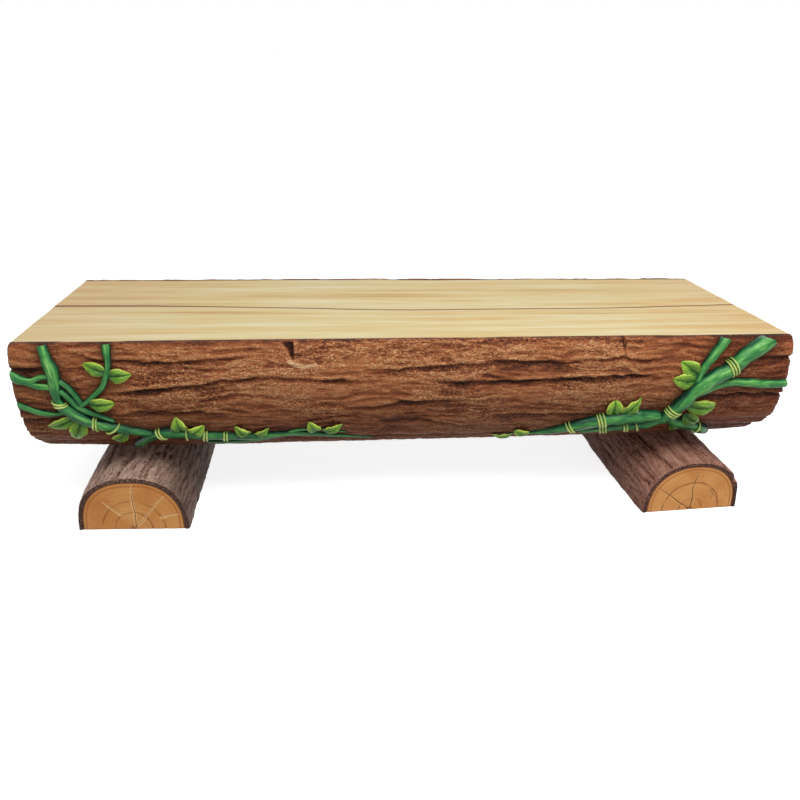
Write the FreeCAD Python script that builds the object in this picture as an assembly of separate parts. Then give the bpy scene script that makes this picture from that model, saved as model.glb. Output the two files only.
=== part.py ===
import FreeCAD
import Part
import math
import os

from FreeCAD import Vector

# A half-log bench: a hollow moulded bark shell on a timber frame, two seat boards, two half-log
# feet across it, and creepers in relief on the front.
# Millimetres. +Z is up, the log lies along X and the front faces -Y. The origin is on the floor
# under the middle of the bench.

# Cuts and fits
overrun = 20  # how far a cutting shape passes the face that it cuts
bond_gap = 0.2  # glue line between timber and what it is bonded to
fit_gap = 0.5  # room round a rail in its notch and round a fastener in its hole

# Feet: half logs, flat side down, lying front to back
foot_radius = 125  # crown of the bark
foot_axis_height = 5  # the flat is sawn this far below the log's axis
foot_length = 650
foot_bark_wall = 12  # from the core to the crowns
foot_groove_depth = 5
foot_end_recess = 2  # the core's end grain lies this far inside the bark's end
saddle_depth = 18  # how far the log beds into the top of each foot

# Log
log_length = 1800
seat_height = 450
rim_half_depth = 284  # from the middle plane to the bark's crown at the rim
bulge = 15  # how far the widest girth stands out past the rim
bulge_drop = 85  # from the seat down to the widest girth
section_power = 2.4  # exponent of the lower section: 2 is an ellipse, more is squarer
groove_depth = 9  # from the crown of a bark plate to the groove beside it
bark_wall = 8  # shell thickness under a groove
outline_steps = 240  # points of each half of the section's outline

# Seat
board_thickness = 28
seam_offset = -14  # the boards meet this far from the middle plane
seam_gap = 1
seam_bevel = 2

# Frame inside the shell
end_panel_thickness = 18
end_panel_recess = 4  # inside the bark's end
rail_width = 40
rail_depth = 45
rail_set_in = 10  # from the shell's inner face at the rim
centre_rail_width = 60
web_thickness = 18
bearer_half_width = 62
bearer_half_length = 170
bearer_depth = 46  # over the inside of the belly

# Fasteners
bolt_radius = 5
bolt_head_across = 17  # across the flats, nut too
bolt_head_height = 6.4
bolt_nut_height = 8
bolt_end = 4  # thread that shows past the nut
washer_radius = 12
washer_thickness = 2
counterbore_radius = 14
counterbore_depth = 34
bolt_offset_x = 35  # from the foot's middle
bolt_offset_y = 80  # from the bench's middle
screw_radius = 2.25
screw_head_radius = 4.5
screw_head_height = 3
board_screw_bite = 17  # into the board
rail_screw_bite = 40  # into the web
centre_screw_offset = 16  # from the seam
dowel_radius = 5
dowel_half_length = 12

# Creepers
leaf_thickness = 3
leaf_lift = 3  # of a leaf's base over the crown of the bark
tie_strand_radius = 2.5
tie_pitch = 7  # from strand to strand
tie_gap = 0.4  # between a strand and its stem

# Shares
# The middle of each foot along the log, of its length, from its middle.
foot_left_share = -0.377
foot_right_share = 0.389
# Bark grooves round the section: 0 is the front rim, 1 the middle of the belly, 2 the rear rim.
front_groove_shares = (0, 0.11, 0.27, 0.41, 0.54, 0.67, 0.80, 0.93)
# Grooves round a foot, from floor to floor.
foot_groove_shares = (0, 0.10, 0.21, 0.33, 0.45, 0.56, 0.68, 0.79, 0.91, 1)
# Board screws along a rail, of its length, from its middle.
board_screw_shares = (-0.45, -0.15, 0.15, 0.45)
stem_lift_share = 0.25  # of a stem's radius, from the bark's crown to the stem's axis
leaf_rise_share = 0.13  # crown of a leaf, of its length
leaf_belly_share = 0.42  # where a leaf is widest, of its length
screw_point_share = 0.25  # of a screw's bite
probe_share = 0.004  # step used to find the section's slope

# Root radius of each stem, of the girth from the rim to the middle of the belly.
left_trunk_root_share = 0.0243
left_fork_root_share = 0.0168
left_under_root_share = 0.0149
left_shoot_root_share = 0.0149
left_low_root_share = 0.0112
left_runner_root_share = 0.0205
left_twist_root_share = 0.0093
right_trunk_root_share = 0.0336
right_strand_root_share = 0.0205
right_shoot_root_share = 0.0224
right_side_root_share = 0.0168
right_runner_root_share = 0.0261
right_branch_root_share = 0.0224

# Stem paths: along the log (of its length, from the middle), round the section (0 the front rim,
# 1 the belly), and thickness (of the stem's root radius).
left_trunk_shares = (
    (-0.459, 0.012, 0.75), (-0.455, 0.063, 0.90), (-0.450, 0.115, 1.00), (-0.450, 0.180, 0.92),
    (-0.450, 0.235, 0.75), (-0.444, 0.278, 0.90), (-0.430, 0.318, 1.00), (-0.414, 0.357, 0.95),
    (-0.391, 0.390, 0.85), (-0.365, 0.420, 0.75), (-0.350, 0.437, 0.65),
)
left_fork_shares = (
    (-0.499, 0.124, 0.90), (-0.489, 0.145, 1.00), (-0.477, 0.152, 0.75), (-0.466, 0.138, 0.65),
    (-0.454, 0.138, 0.65), (-0.443, 0.158, 0.70), (-0.434, 0.188, 0.70), (-0.428, 0.224, 0.65),
    (-0.424, 0.258, 0.60),
)
left_under_shares = (
    (-0.484, 0.158, 0.85), (-0.470, 0.174, 0.95), (-0.457, 0.180, 0.95), (-0.444, 0.202, 0.90),
    (-0.435, 0.236, 0.85), (-0.429, 0.271, 0.85), (-0.418, 0.298, 0.80), (-0.405, 0.321, 0.75),
    (-0.391, 0.350, 0.60),
)
left_shoot_shares = (
    (-0.386, 0.012, 1.20), (-0.385, 0.050, 0.95), (-0.385, 0.092, 0.80), (-0.389, 0.140, 0.80),
    (-0.396, 0.187, 0.80), (-0.406, 0.220, 0.75), (-0.416, 0.248, 0.70), (-0.425, 0.272, 0.60),
)
left_low_shares = (
    (-0.499, 0.257, 1.00), (-0.488, 0.277, 1.00), (-0.476, 0.297, 1.00), (-0.462, 0.307, 0.90),
    (-0.444, 0.304, 0.75),
)
left_runner_shares = (
    (-0.372, 0.545, 0.80), (-0.353, 0.468, 0.95), (-0.332, 0.432, 1.00), (-0.308, 0.441, 0.95),
    (-0.283, 0.460, 0.80), (-0.250, 0.473, 0.70), (-0.218, 0.482, 0.60), (-0.183, 0.468, 0.50),
    (-0.150, 0.470, 0.42), (-0.116, 0.495, 0.35), (-0.081, 0.524, 0.28), (-0.060, 0.545, 0.18),
)
left_twist_shares = (
    (-0.282, 0.560, 0.80), (-0.254, 0.560, 1.00), (-0.222, 0.540, 1.00), (-0.192, 0.500, 0.90),
    (-0.165, 0.448, 0.80), (-0.133, 0.440, 0.70), (-0.098, 0.470, 0.50),
)
right_trunk_shares = (
    (0.463, 0.018, 1.10), (0.437, 0.077, 1.00), (0.419, 0.126, 0.95), (0.401, 0.168, 0.92),
    (0.381, 0.212, 0.90), (0.369, 0.254, 0.88), (0.360, 0.300, 0.85), (0.351, 0.349, 0.80),
    (0.342, 0.398, 0.70), (0.335, 0.422, 0.60),
)
right_strand_shares = (
    (0.344, 0.388, 0.60), (0.335, 0.422, 0.80), (0.322, 0.446, 0.95), (0.304, 0.466, 0.82),
    (0.276, 0.484, 0.70), (0.250, 0.503, 0.57), (0.233, 0.525, 0.40),
)
right_shoot_shares = (
    (0.403, 0.014, 1.20), (0.390, 0.075, 0.90), (0.379, 0.126, 0.75), (0.373, 0.180, 0.65),
    (0.369, 0.232, 0.55),
)
right_side_shares = (
    (0.499, 0.220, 0.90), (0.468, 0.222, 1.00), (0.440, 0.211, 0.95), (0.418, 0.211, 0.95),
    (0.397, 0.230, 0.90), (0.380, 0.262, 0.85), (0.364, 0.294, 0.80),
)
right_runner_shares = (
    (0.328, 0.388, 0.85), (0.303, 0.388, 1.00), (0.281, 0.397, 1.00), (0.258, 0.406, 1.00),
    (0.237, 0.425, 0.95), (0.216, 0.453, 0.85), (0.196, 0.486, 0.65), (0.176, 0.516, 0.45),
    (0.157, 0.530, 0.28), (0.133, 0.534, 0.18),
)
right_branch_shares = (
    (0.347, 0.380, 0.65), (0.355, 0.420, 0.95), (0.366, 0.442, 1.00), (0.382, 0.462, 1.00),
    (0.400, 0.492, 0.95), (0.417, 0.535, 0.85),
)

# Leaves: base and tip (along the log, round the section) and width, of the leaf's length.
left_leaf_shares = (
    ((-0.388, 0.124), (-0.415, 0.080), 0.48),
    ((-0.387, 0.134), (-0.358, 0.130), 0.56),
    ((-0.415, 0.258), (-0.384, 0.257), 0.52),
    ((-0.434, 0.324), (-0.471, 0.379), 0.36),
    ((-0.428, 0.337), (-0.441, 0.443), 0.52),
    ((-0.378, 0.420), (-0.401, 0.485), 0.52),
    ((-0.308, 0.422), (-0.314, 0.327), 0.58),
    ((-0.298, 0.434), (-0.281, 0.390), 0.48),
    ((-0.222, 0.468), (-0.243, 0.428), 0.55),
    ((-0.219, 0.473), (-0.198, 0.426), 0.44),
    ((-0.134, 0.447), (-0.146, 0.372), 0.60),
    ((-0.128, 0.450), (-0.101, 0.408), 0.45),
)
right_leaf_shares = (
    ((0.371, 0.174), (0.346, 0.106), 0.62),
    ((0.370, 0.200), (0.337, 0.191), 0.60),
    ((0.267, 0.385), (0.263, 0.295), 0.78),
    ((0.279, 0.383), (0.298, 0.277), 0.46),
    ((0.364, 0.325), (0.410, 0.342), 0.48),
    ((0.368, 0.378), (0.393, 0.442), 0.56),
    ((0.158, 0.518), (0.135, 0.468), 0.55),
    ((0.138, 0.532), (0.106, 0.548), 0.44),
    ((0.360, 0.448), (0.382, 0.545), 0.42),
)

# Lashings: place along a stem (0 its root, 1 its tip), lean in degrees, strands.
left_trunk_tie_shares = ((0.47, 16, 2), (0.72, 0, 2), (0.79, -18, 1))
left_runner_tie_shares = ((0.17, 18, 2), (0.29, 14, 1), (0.37, 0, 2), (0.44, 0, 2))
right_trunk_tie_shares = ((0.30, -10, 3), (0.80, 8, 3))
right_strand_tie_shares = ((0.47, 8, 1), (0.57, 4, 2), (0.75, 8, 3))
right_runner_tie_shares = ((0.365, 6, 3), (0.57, 18, 2))
right_branch_tie_shares = ((0.77, 8, 1),)

# Worked out from the sizes
foot_left_x = foot_left_share * log_length
foot_right_x = foot_right_share * log_length
foot_height = foot_axis_height + foot_radius
foot_core_radius = foot_radius - foot_bark_wall
belly_height = foot_height - saddle_depth
bulge_half_depth = rim_half_depth + bulge
bulge_height = seat_height - bulge_drop
shell_inset = groove_depth + bark_wall
cavity_half_depth = rim_half_depth - shell_inset
board_bottom = seat_height - board_thickness
rail_bottom = board_bottom - rail_depth
bearer_top = belly_height + shell_inset + bearer_depth
end_panel_inner_x = log_length / 2 - end_panel_recess - end_panel_thickness
rail_half_length = end_panel_inner_x - bond_gap
edge_rail_y = cavity_half_depth - rail_set_in - rail_width / 2
rail_places = (
    ("rail_front", -edge_rail_y, rail_width),
    ("rail_centre", seam_offset, centre_rail_width),
    ("rail_rear", edge_rail_y, rail_width),
)
web_places = (
    ("web_left", foot_left_x, bearer_top + bond_gap),
    ("web_middle", (foot_left_x + foot_right_x) / 2, 0),
    ("web_right", foot_right_x, bearer_top + bond_gap),
)
groove_shares = front_groove_shares + tuple(2 - share for share in reversed(front_groove_shares))


def base_outline():
    """Crown line of the bark, as (y, z), from the front rim round to the middle of the belly."""
    rim_rise = seat_height - bulge_height
    upper_axis = rim_rise / math.sqrt(1 - (rim_half_depth / bulge_half_depth) ** 2)
    points = []
    for step in range(outline_steps):
        rise = rim_rise * (1 - step / outline_steps)
        reach = math.sqrt(1 - (rise / upper_axis) ** 2)
        points.append((-bulge_half_depth * reach, bulge_height + rise))
    for step in range(outline_steps + 1):
        turn = math.pi / 2 * step / outline_steps
        out = math.cos(turn) ** (2 / section_power)
        down = math.sin(turn) ** (2 / section_power)
        points.append((-bulge_half_depth * out, bulge_height - (bulge_height - belly_height) * down))
    return points


outline = base_outline()
girths = [0]
for here, there in zip(outline, outline[1:]):
    girths.append(girths[-1] + math.dist(here, there))


def girth_point(share):
    """(y, z) on the crown line at a share of the way round it."""
    front_share = min(share, 2 - share)
    side = 1 if share <= 1 else -1
    wanted = front_share * girths[-1]
    after = next(index for index, girth in enumerate(girths) if girth >= wanted)
    before = max(after - 1, 0)
    span = girths[after] - girths[before]
    part = (wanted - girths[before]) / span if span else 0
    y = outline[before][0] + part * (outline[after][0] - outline[before][0])
    z = outline[before][1] + part * (outline[after][1] - outline[before][1])
    return side * y, z


def girth_normal(share):
    """Outward direction of the section at a share of the way round it."""
    y0, z0 = girth_point(max(share - probe_share, 0))
    y1, z1 = girth_point(min(share + probe_share, 2))
    normal = Vector(0, z1 - z0, y0 - y1)
    normal.normalize()
    return normal


def section_point(share, inset):
    """Point inside the crown line by an inset. At the rims it stays level with the seat."""
    y, z = girth_point(share)
    normal = girth_normal(share)
    if share in (0, 2):
        return Vector(0, y - math.copysign(inset, y), seat_height)
    return Vector(0, y, z) - normal * inset


def plate_arcs(groove_inset, crown_inset):
    """One arc for each bark plate, from the front rim round to the rear rim."""
    arcs = []
    for start, end in zip(groove_shares, groove_shares[1:]):
        crown = section_point((start + end) / 2, crown_inset)
        arc = Part.Arc(section_point(start, groove_inset), crown, section_point(end, groove_inset))
        arcs.append(arc.toShape())
    return arcs


def along_log(edges, length):
    """Solid with a section of the given edges, centred along X."""
    face = Part.Face(Part.Wire(Part.__sortEdges__(edges)))
    solid = face.extrude(Vector(length, 0, 0))
    solid.translate(Vector(-length / 2, 0, 0))
    return solid


def line(start, end):
    return Part.LineSegment(start, end).toShape()


def log_block(groove_inset, crown_inset, length):
    """The log as a full solid, or the space inside its shell."""
    top = line(section_point(2, groove_inset), section_point(0, groove_inset))
    return along_log(plate_arcs(groove_inset, crown_inset) + [top], length)


def box(x0, x1, y0, y1, z0, z1):
    return Part.makeBox(x1 - x0, y1 - y0, z1 - z0, Vector(x0, y0, z0))


def upright(radius, bottom, top, x, y):
    return Part.makeCylinder(radius, top - bottom, Vector(x, y, bottom))


def turned(profile):
    """Solid of revolution about Z from an outline of (radius, height) points."""
    points = [Vector(radius, 0, height) for radius, height in profile]
    face = Part.Face(Part.makePolygon(points + points[:1]))
    return face.revolve(Vector(0, 0, 0), Vector(0, 0, 1), 360).Solids[0]


def hexagon(across, height):
    corners = []
    for side in range(7):
        angle = math.pi / 3 * side
        reach = across / math.sqrt(3)
        corners.append(Vector(reach * math.cos(angle), reach * math.sin(angle), 0))
    return Part.Face(Part.makePolygon(corners)).extrude(Vector(0, 0, height))


def placed(shape, place):
    copy = shape.copy()
    copy.translate(place)
    return copy


# Bolts: four through each foot, up into the bearer
def bolt_places():
    places = []
    for foot_x in (foot_left_x, foot_right_x):
        for side_x in (-bolt_offset_x, bolt_offset_x):
            for side_y in (-bolt_offset_y, bolt_offset_y):
                places.append((foot_x + side_x, side_y))
    return places


bolt_holes = []
bolt_counterbores = []
for bolt_x, bolt_y in bolt_places():
    bolt_holes.append(upright(bolt_radius + fit_gap, -overrun, seat_height, bolt_x, bolt_y))
    bolt_counterbores.append(upright(counterbore_radius, -overrun, counterbore_depth, bolt_x, bolt_y))

bolt_seat = counterbore_depth - washer_thickness
bolt_top = bearer_top + washer_thickness + bolt_nut_height + bolt_end


def foot_bolts():
    head = hexagon(bolt_head_across, bolt_head_height)
    shank = upright(bolt_radius, 0, bolt_top - bolt_seat + bolt_head_height, 0, 0)
    bolt = head.fuse(shank).removeSplitter()
    return [placed(bolt, Vector(x, y, bolt_seat - bolt_head_height)) for x, y in bolt_places()]


def foot_bolt_washers():
    inner = bolt_radius + fit_gap
    profile = ((inner, 0), (washer_radius, 0), (washer_radius, washer_thickness), (inner, washer_thickness))
    washer = turned(profile)
    below = [placed(washer, Vector(x, y, bolt_seat)) for x, y in bolt_places()]
    above = [placed(washer, Vector(x, y, bearer_top)) for x, y in bolt_places()]
    return below + above


def foot_bolt_nuts():
    bore = upright(bolt_radius, -overrun, bolt_nut_height + overrun, 0, 0)
    nut = hexagon(bolt_head_across, bolt_nut_height).cut(bore)
    return [placed(nut, Vector(x, y, bearer_top + washer_thickness)) for x, y in bolt_places()]


# Screws and dowels
def screw(grip, bite):
    """Pan-head screw that points up, its head's seat at the origin."""
    point = bite * screw_point_share
    length = grip + bite
    return turned((
        (0, -screw_head_height), (screw_head_radius, -screw_head_height), (screw_head_radius, 0),
        (screw_radius, 0), (screw_radius, length - point), (0, length),
    ))


def screw_bore(grip, bite):
    """Hole for that screw, with a counterbore for its head."""
    radius = screw_radius + bond_gap
    head = upright(screw_head_radius + fit_gap, -screw_head_height - overrun, 0, 0, 0)
    return head.fuse(upright(radius, -overrun, grip + bite + fit_gap, 0, 0))


def board_screw_places():
    rows = (-edge_rail_y, seam_offset - centre_screw_offset, seam_offset + centre_screw_offset, edge_rail_y)
    places = []
    for y in rows:
        for share in board_screw_shares:
            places.append(Vector(share * 2 * rail_half_length, y, rail_bottom + screw_head_height))
    return places


board_screw_grip = rail_depth - screw_head_height
board_bores = []
for screw_place in board_screw_places():
    board_bores.append(placed(screw_bore(board_screw_grip, board_screw_bite), screw_place))


def board_screws():
    fastener = screw(board_screw_grip, board_screw_bite)
    return [placed(fastener, place) for place in board_screw_places()]


def rail_screw_places():
    top = board_bottom - bond_gap - screw_head_height
    return [Vector(x, y, top) for _, y, _ in rail_places for _, x, _ in web_places]


rail_screw_grip = rail_depth - screw_head_height - bond_gap
rail_bores = []
for screw_place in rail_screw_places():
    bore = screw_bore(rail_screw_grip, rail_screw_bite)
    bore.rotate(Vector(0, 0, 0), Vector(1, 0, 0), 180)
    rail_bores.append(placed(bore, screw_place))


def rail_screws():
    fastener = screw(rail_screw_grip, rail_screw_bite)
    fastener.rotate(Vector(0, 0, 0), Vector(1, 0, 0), 180)
    return [placed(fastener, place) for place in rail_screw_places()]


def dowel_rods(radius, half_length):
    rods = []
    for _, y, _ in rail_places:
        for end_x in (-end_panel_inner_x, end_panel_inner_x):
            start = Vector(end_x - half_length, y, board_bottom - rail_depth / 2)
            rods.append(Part.makeCylinder(radius, 2 * half_length, start, Vector(1, 0, 0)))
    return rods


dowel_holes = dowel_rods(dowel_radius + bond_gap, dowel_half_length + bond_gap)


# Log, seat and frame
log_outer = log_block(groove_depth, 0, log_length)
cavity = log_block(shell_inset + bond_gap, shell_inset + bond_gap, log_length)


def log_shell():
    rims = []
    for share in (0, 2):
        rims.append(line(section_point(share, groove_depth), section_point(share, shell_inset)))
    edges = plate_arcs(groove_depth, 0) + plate_arcs(shell_inset, shell_inset) + rims
    return along_log(edges, log_length).cut(bolt_holes)


def seat_board(y0, y1):
    half = log_length / 2 + overrun
    board = cavity.common(box(-half, half, y0, y1, board_bottom, seat_height + overrun))
    reach = seam_gap / 2 + seam_bevel + overrun
    bevel = Part.makePolygon([
        Vector(-half, seam_offset - reach, seat_height + overrun),
        Vector(-half, seam_offset + reach, seat_height + overrun),
        Vector(-half, seam_offset, seat_height + overrun - reach),
        Vector(-half, seam_offset - reach, seat_height + overrun),
    ])
    return board.cut([Part.Face(bevel).extrude(Vector(2 * half, 0, 0))] + board_bores)


def seat_boards():
    edge = rim_half_depth + overrun
    return {
        "seat_board_front": seat_board(-edge, seam_offset - seam_gap / 2),
        "seat_board_rear": seat_board(seam_offset + seam_gap / 2, edge),
    }


def across_cavity(x0, x1, bottom, top):
    """Upright board across the shell, shaped to its inside."""
    return cavity.common(box(x0, x1, -bulge_half_depth, bulge_half_depth, bottom, top))


def end_panels():
    top = board_bottom - bond_gap
    outer_x = log_length / 2 - end_panel_recess
    left = across_cavity(-outer_x, -end_panel_inner_x, 0, top)
    right = across_cavity(end_panel_inner_x, outer_x, 0, top)
    return {"end_panel_left": left.cut(dowel_holes), "end_panel_right": right.cut(dowel_holes)}


def rails():
    pieces = {}
    for name, y, width in rail_places:
        rail = box(-rail_half_length, rail_half_length, y - width / 2, y + width / 2,
                   rail_bottom, board_bottom - bond_gap)
        pieces[name] = rail.cut(board_bores + rail_bores + dowel_holes)
    return pieces


def webs():
    notches = [box(-log_length, log_length, y - width / 2 - fit_gap, y + width / 2 + fit_gap,
                   rail_bottom, seat_height) for _, y, width in rail_places]
    pieces = {}
    for name, x, bottom in web_places:
        web = across_cavity(x - web_thickness / 2, x + web_thickness / 2, bottom, board_bottom - bond_gap)
        pieces[name] = web.cut(notches + rail_bores)
    return pieces


def bearers():
    pieces = {}
    for name, x in (("bearer_left", foot_left_x), ("bearer_right", foot_right_x)):
        block = box(x - bearer_half_width, x + bearer_half_width,
                    -bearer_half_length, bearer_half_length, 0, bearer_top)
        pieces[name] = cavity.common(block).cut(bolt_holes)
    return pieces


# Feet
def foot_point(radius, start_radius, share):
    """Point round a foot, from the floor on its left to the floor on its right."""
    dip = math.asin(foot_axis_height / start_radius)
    angle = math.pi + dip - share * (math.pi + 2 * dip)
    return Vector(radius * math.cos(angle), 0, foot_axis_height + radius * math.sin(angle))


def foot_arc(radius):
    points = [foot_point(radius, radius, share) for share in (0, 0.5, 1)]
    return Part.Arc(*points).toShape(), points[0], points[2]


def foot_solid(edges, length, x):
    face = Part.Face(Part.Wire(Part.__sortEdges__(edges)))
    solid = face.extrude(Vector(0, length, 0))
    solid.translate(Vector(x, -length / 2, 0))
    return solid.cut([log_outer] + bolt_holes + bolt_counterbores)


def foot_bark(x):
    groove_radius = foot_radius - foot_groove_depth
    edges = []
    for start, end in zip(foot_groove_shares, foot_groove_shares[1:]):
        arc = Part.Arc(
            foot_point(groove_radius, groove_radius, start),
            foot_point(foot_radius, groove_radius, (start + end) / 2),
            foot_point(groove_radius, groove_radius, end),
        )
        edges.append(arc.toShape())
    inner, inner_start, inner_end = foot_arc(foot_core_radius)
    edges.append(inner)
    edges.append(line(foot_point(groove_radius, groove_radius, 0), inner_start))
    edges.append(line(foot_point(groove_radius, groove_radius, 1), inner_end))
    return foot_solid(edges, foot_length, x)


def foot_core(x):
    arc, start, end = foot_arc(foot_core_radius - bond_gap)
    return foot_solid([arc, line(end, start)], foot_length - 2 * foot_end_recess, x)


# Creepers
def log_place(along_share, girth_share, lift):
    """Point over the front of the bark, lifted off its crown line, and the outward direction."""
    y, z = girth_point(girth_share)
    normal = girth_normal(girth_share)
    return Vector(along_share * log_length, y, z) + normal * lift, normal


def stem_rings(path_shares, root_share):
    """Centre, direction, outward normal and radius at each point of a stem."""
    root_radius = root_share * girths[-1]
    radii = [root_radius * thickness for _, _, thickness in path_shares]
    places = []
    for (along, girth, _), ring_radius in zip(path_shares, radii):
        places.append(log_place(along, girth, stem_lift_share * ring_radius))
    rings = []
    for index, (centre, normal) in enumerate(places):
        after = places[min(index + 1, len(places) - 1)][0]
        before = places[max(index - 1, 0)][0]
        direction = after - before
        direction.normalize()
        rings.append((centre, direction, normal, radii[index]))
    return rings


def facing(centre, direction, normal):
    """Placement whose Z runs along a stem and whose X points away from the bark."""
    side = direction.cross(normal)
    return FreeCAD.Placement(centre, FreeCAD.Rotation(normal, side, direction, "ZXY"))


def stem(path_shares, root_share):
    """Tapered stem, lofted in two runs that meet at a middle ring."""
    wires = []
    for centre, direction, normal, ring_radius in stem_rings(path_shares, root_share):
        circle = Part.makeCircle(ring_radius)
        circle.Placement = facing(centre, direction, normal)
        wires.append(Part.Wire(circle))
    middle = len(wires) // 2
    runs = [Part.makeLoft(run, True, True) for run in (wires[: middle + 1], wires[middle:])]
    return runs[0].fuse(runs[1])


def trimmed(shape, cutters):
    """What is left of a shape outside the others that it meets."""
    for cutter in cutters:
        if shape.BoundBox.intersect(cutter.BoundBox):
            shape = shape.cut(cutter)
    return shape


def whole_stems(stem_table):
    """Stems of one creeper, still running through the bark and each other."""
    half = log_length / 2
    room = box(-half, half, -foot_length, 0, 0, seat_height)
    return {name: stem(*path).common(room) for name, *path in stem_table}


def seated_stems(stems):
    """Each stem without what lies in the bark or in a stem before it."""
    pieces = {}
    before = [log_outer]
    for name, whole in stems.items():
        pieces[name] = trimmed(whole, before)
        before.append(whole)
    return pieces


def leaf(base_shares, tip_shares, width_share):
    """Crowned leaf that reaches from a stem down to the bark."""
    base, base_normal = log_place(*base_shares, leaf_lift)
    tip, tip_normal = log_place(*tip_shares, 0)
    run = tip - base
    length = run.Length
    half_width = length * width_share / 2
    belly = length * leaf_belly_share
    rise = length * leaf_rise_share
    base_point = Vector(0, 0, 0)
    tip_point = Vector(length, 0, 0)
    near_side = Part.Arc(base_point, Vector(belly, -half_width, 0), tip_point).toShape()
    far_side = Part.Arc(tip_point, Vector(belly, half_width, 0), base_point).toShape()
    blank = Part.Face(Part.Wire([near_side, far_side])).extrude(Vector(0, 0, rise + leaf_thickness))
    up = Vector(0, 0, leaf_thickness)
    crest = Vector(length / 2, 0, rise)
    under = Part.Arc(base_point, crest, tip_point).toShape()
    over = Part.Arc(tip_point + up, crest + up, base_point + up).toShape()
    strip = Part.Wire([under, line(tip_point, tip_point + up), over, line(base_point + up, base_point)])
    arch = Part.Face(strip).extrude(Vector(0, 2 * half_width, 0))
    arch.translate(Vector(0, -half_width, 0))
    crowned = blank.common(arch)
    outward = base_normal + tip_normal
    crowned.Placement = FreeCAD.Placement(base, FreeCAD.Rotation(run, outward.cross(run), outward, "XZY"))
    return crowned


def leaves(side, leaf_table, stems):
    """Leaves of one creeper, each the largest piece left outside the bark and the stems."""
    pieces = {}
    before = [log_outer] + stems
    for number, leaf_shares in enumerate(leaf_table, 1):
        seated = trimmed(leaf(*leaf_shares), before)
        blade = max(seated.Solids, key=lambda solid: solid.Volume)
        pieces[f"leaf_{side}_{number:02d}"] = blade
        before.append(blade)
    return pieces


def lashing(path_shares, root_share, tie_shares):
    """Strands that lie over the outer half of a stem."""
    rings = stem_rings(path_shares, root_share)
    strands = []
    for place_share, lean, count in tie_shares:
        place = place_share * (len(rings) - 1)
        index = int(place)
        span = math.dist(rings[index][0], rings[index + 1][0])
        for number in range(count):
            shift = (number - (count - 1) / 2) * tie_pitch
            strands.append(tie_strand(rings, index, place - index + shift / span, lean))
    return strands


def tie_strand(rings, index, part, lean):
    """Half ring over a stem, part of the way from one of its rings to the next."""
    blends = [here * (1 - part) + there * part for here, there in zip(rings[index], rings[index + 1])]
    centre, direction, normal, ring_radius = blends
    leaning = FreeCAD.Rotation(normal, lean).multVec(direction)
    reach = (ring_radius + tie_strand_radius + tie_gap) / math.cos(math.radians(lean))
    upward = Vector(0, 0, 1)
    strand = Part.makeTorus(reach, tie_strand_radius, Vector(0, 0, 0), upward, -180, 180, 180)
    strand.rotate(Vector(0, 0, 0), upward, -90)
    strand.Placement = facing(centre, leaning, normal).multiply(strand.Placement)
    return strand


def lashings(tables):
    return [strand for table in tables for strand in lashing(*table)]


left_stem_table = (
    ("stem_left_trunk", left_trunk_shares, left_trunk_root_share),
    ("stem_left_under", left_under_shares, left_under_root_share),
    ("stem_left_fork", left_fork_shares, left_fork_root_share),
    ("stem_left_shoot", left_shoot_shares, left_shoot_root_share),
    ("stem_left_low", left_low_shares, left_low_root_share),
    ("stem_left_runner", left_runner_shares, left_runner_root_share),
    ("stem_left_twist", left_twist_shares, left_twist_root_share),
)
right_stem_table = (
    ("stem_right_trunk", right_trunk_shares, right_trunk_root_share),
    ("stem_right_strand", right_strand_shares, right_strand_root_share),
    ("stem_right_runner", right_runner_shares, right_runner_root_share),
    ("stem_right_shoot", right_shoot_shares, right_shoot_root_share),
    ("stem_right_side", right_side_shares, right_side_root_share),
    ("stem_right_branch", right_branch_shares, right_branch_root_share),
)
left_tie_table = (
    (left_trunk_shares, left_trunk_root_share, left_trunk_tie_shares),
    (left_runner_shares, left_runner_root_share, left_runner_tie_shares),
)
right_tie_table = (
    (right_trunk_shares, right_trunk_root_share, right_trunk_tie_shares),
    (right_strand_shares, right_strand_root_share, right_strand_tie_shares),
    (right_runner_shares, right_runner_root_share, right_runner_tie_shares),
    (right_branch_shares, right_branch_root_share, right_branch_tie_shares),
)


def side_pieces(side, stem_table, leaf_table, tie_table):
    """Stems, leaves and lashings of the creeper on one side."""
    wholes = whole_stems(stem_table)
    stems = list(wholes.values())
    foliage = leaves(side, leaf_table, stems)
    ties = Part.makeCompound(lashings(tie_table))
    return {**seated_stems(wholes), **foliage, f"ties_{side}": ties}


pieces = {
    "log_shell": log_shell(),
    **seat_boards(),
    **end_panels(),
    **rails(),
    **webs(),
    **bearers(),
    "foot_bark_left": foot_bark(foot_left_x),
    "foot_bark_right": foot_bark(foot_right_x),
    "foot_core_left": foot_core(foot_left_x),
    "foot_core_right": foot_core(foot_right_x),
    "foot_bolts": Part.makeCompound(foot_bolts()),
    "foot_bolt_washers": Part.makeCompound(foot_bolt_washers()),
    "foot_bolt_nuts": Part.makeCompound(foot_bolt_nuts()),
    "board_screws": Part.makeCompound(board_screws()),
    "rail_screws": Part.makeCompound(rail_screws()),
    "rail_dowels": Part.makeCompound(dowel_rods(dowel_radius, dowel_half_length)),
    **side_pieces("left", left_stem_table, left_leaf_shares, left_tie_table),
    **side_pieces("right", right_stem_table, right_leaf_shares, right_tie_table),
}

os.makedirs("parts", exist_ok=True)
for name, shape in pieces.items():
    shape.exportStep(f"parts/{name}.step")
print(len(pieces), "pieces")
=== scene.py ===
# %% [markdown]
# # A half-log bench with creepers
# The bench is a sculpted, hand-painted half log: a bark shell under two pale seat boards, on two
# half-log feet, with green creepers in relief on the front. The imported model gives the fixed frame,
# in metres. Each visible piece is then dressed over it, and the timber frame inside stays as it is.

# %% Load the frame
import math

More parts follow.
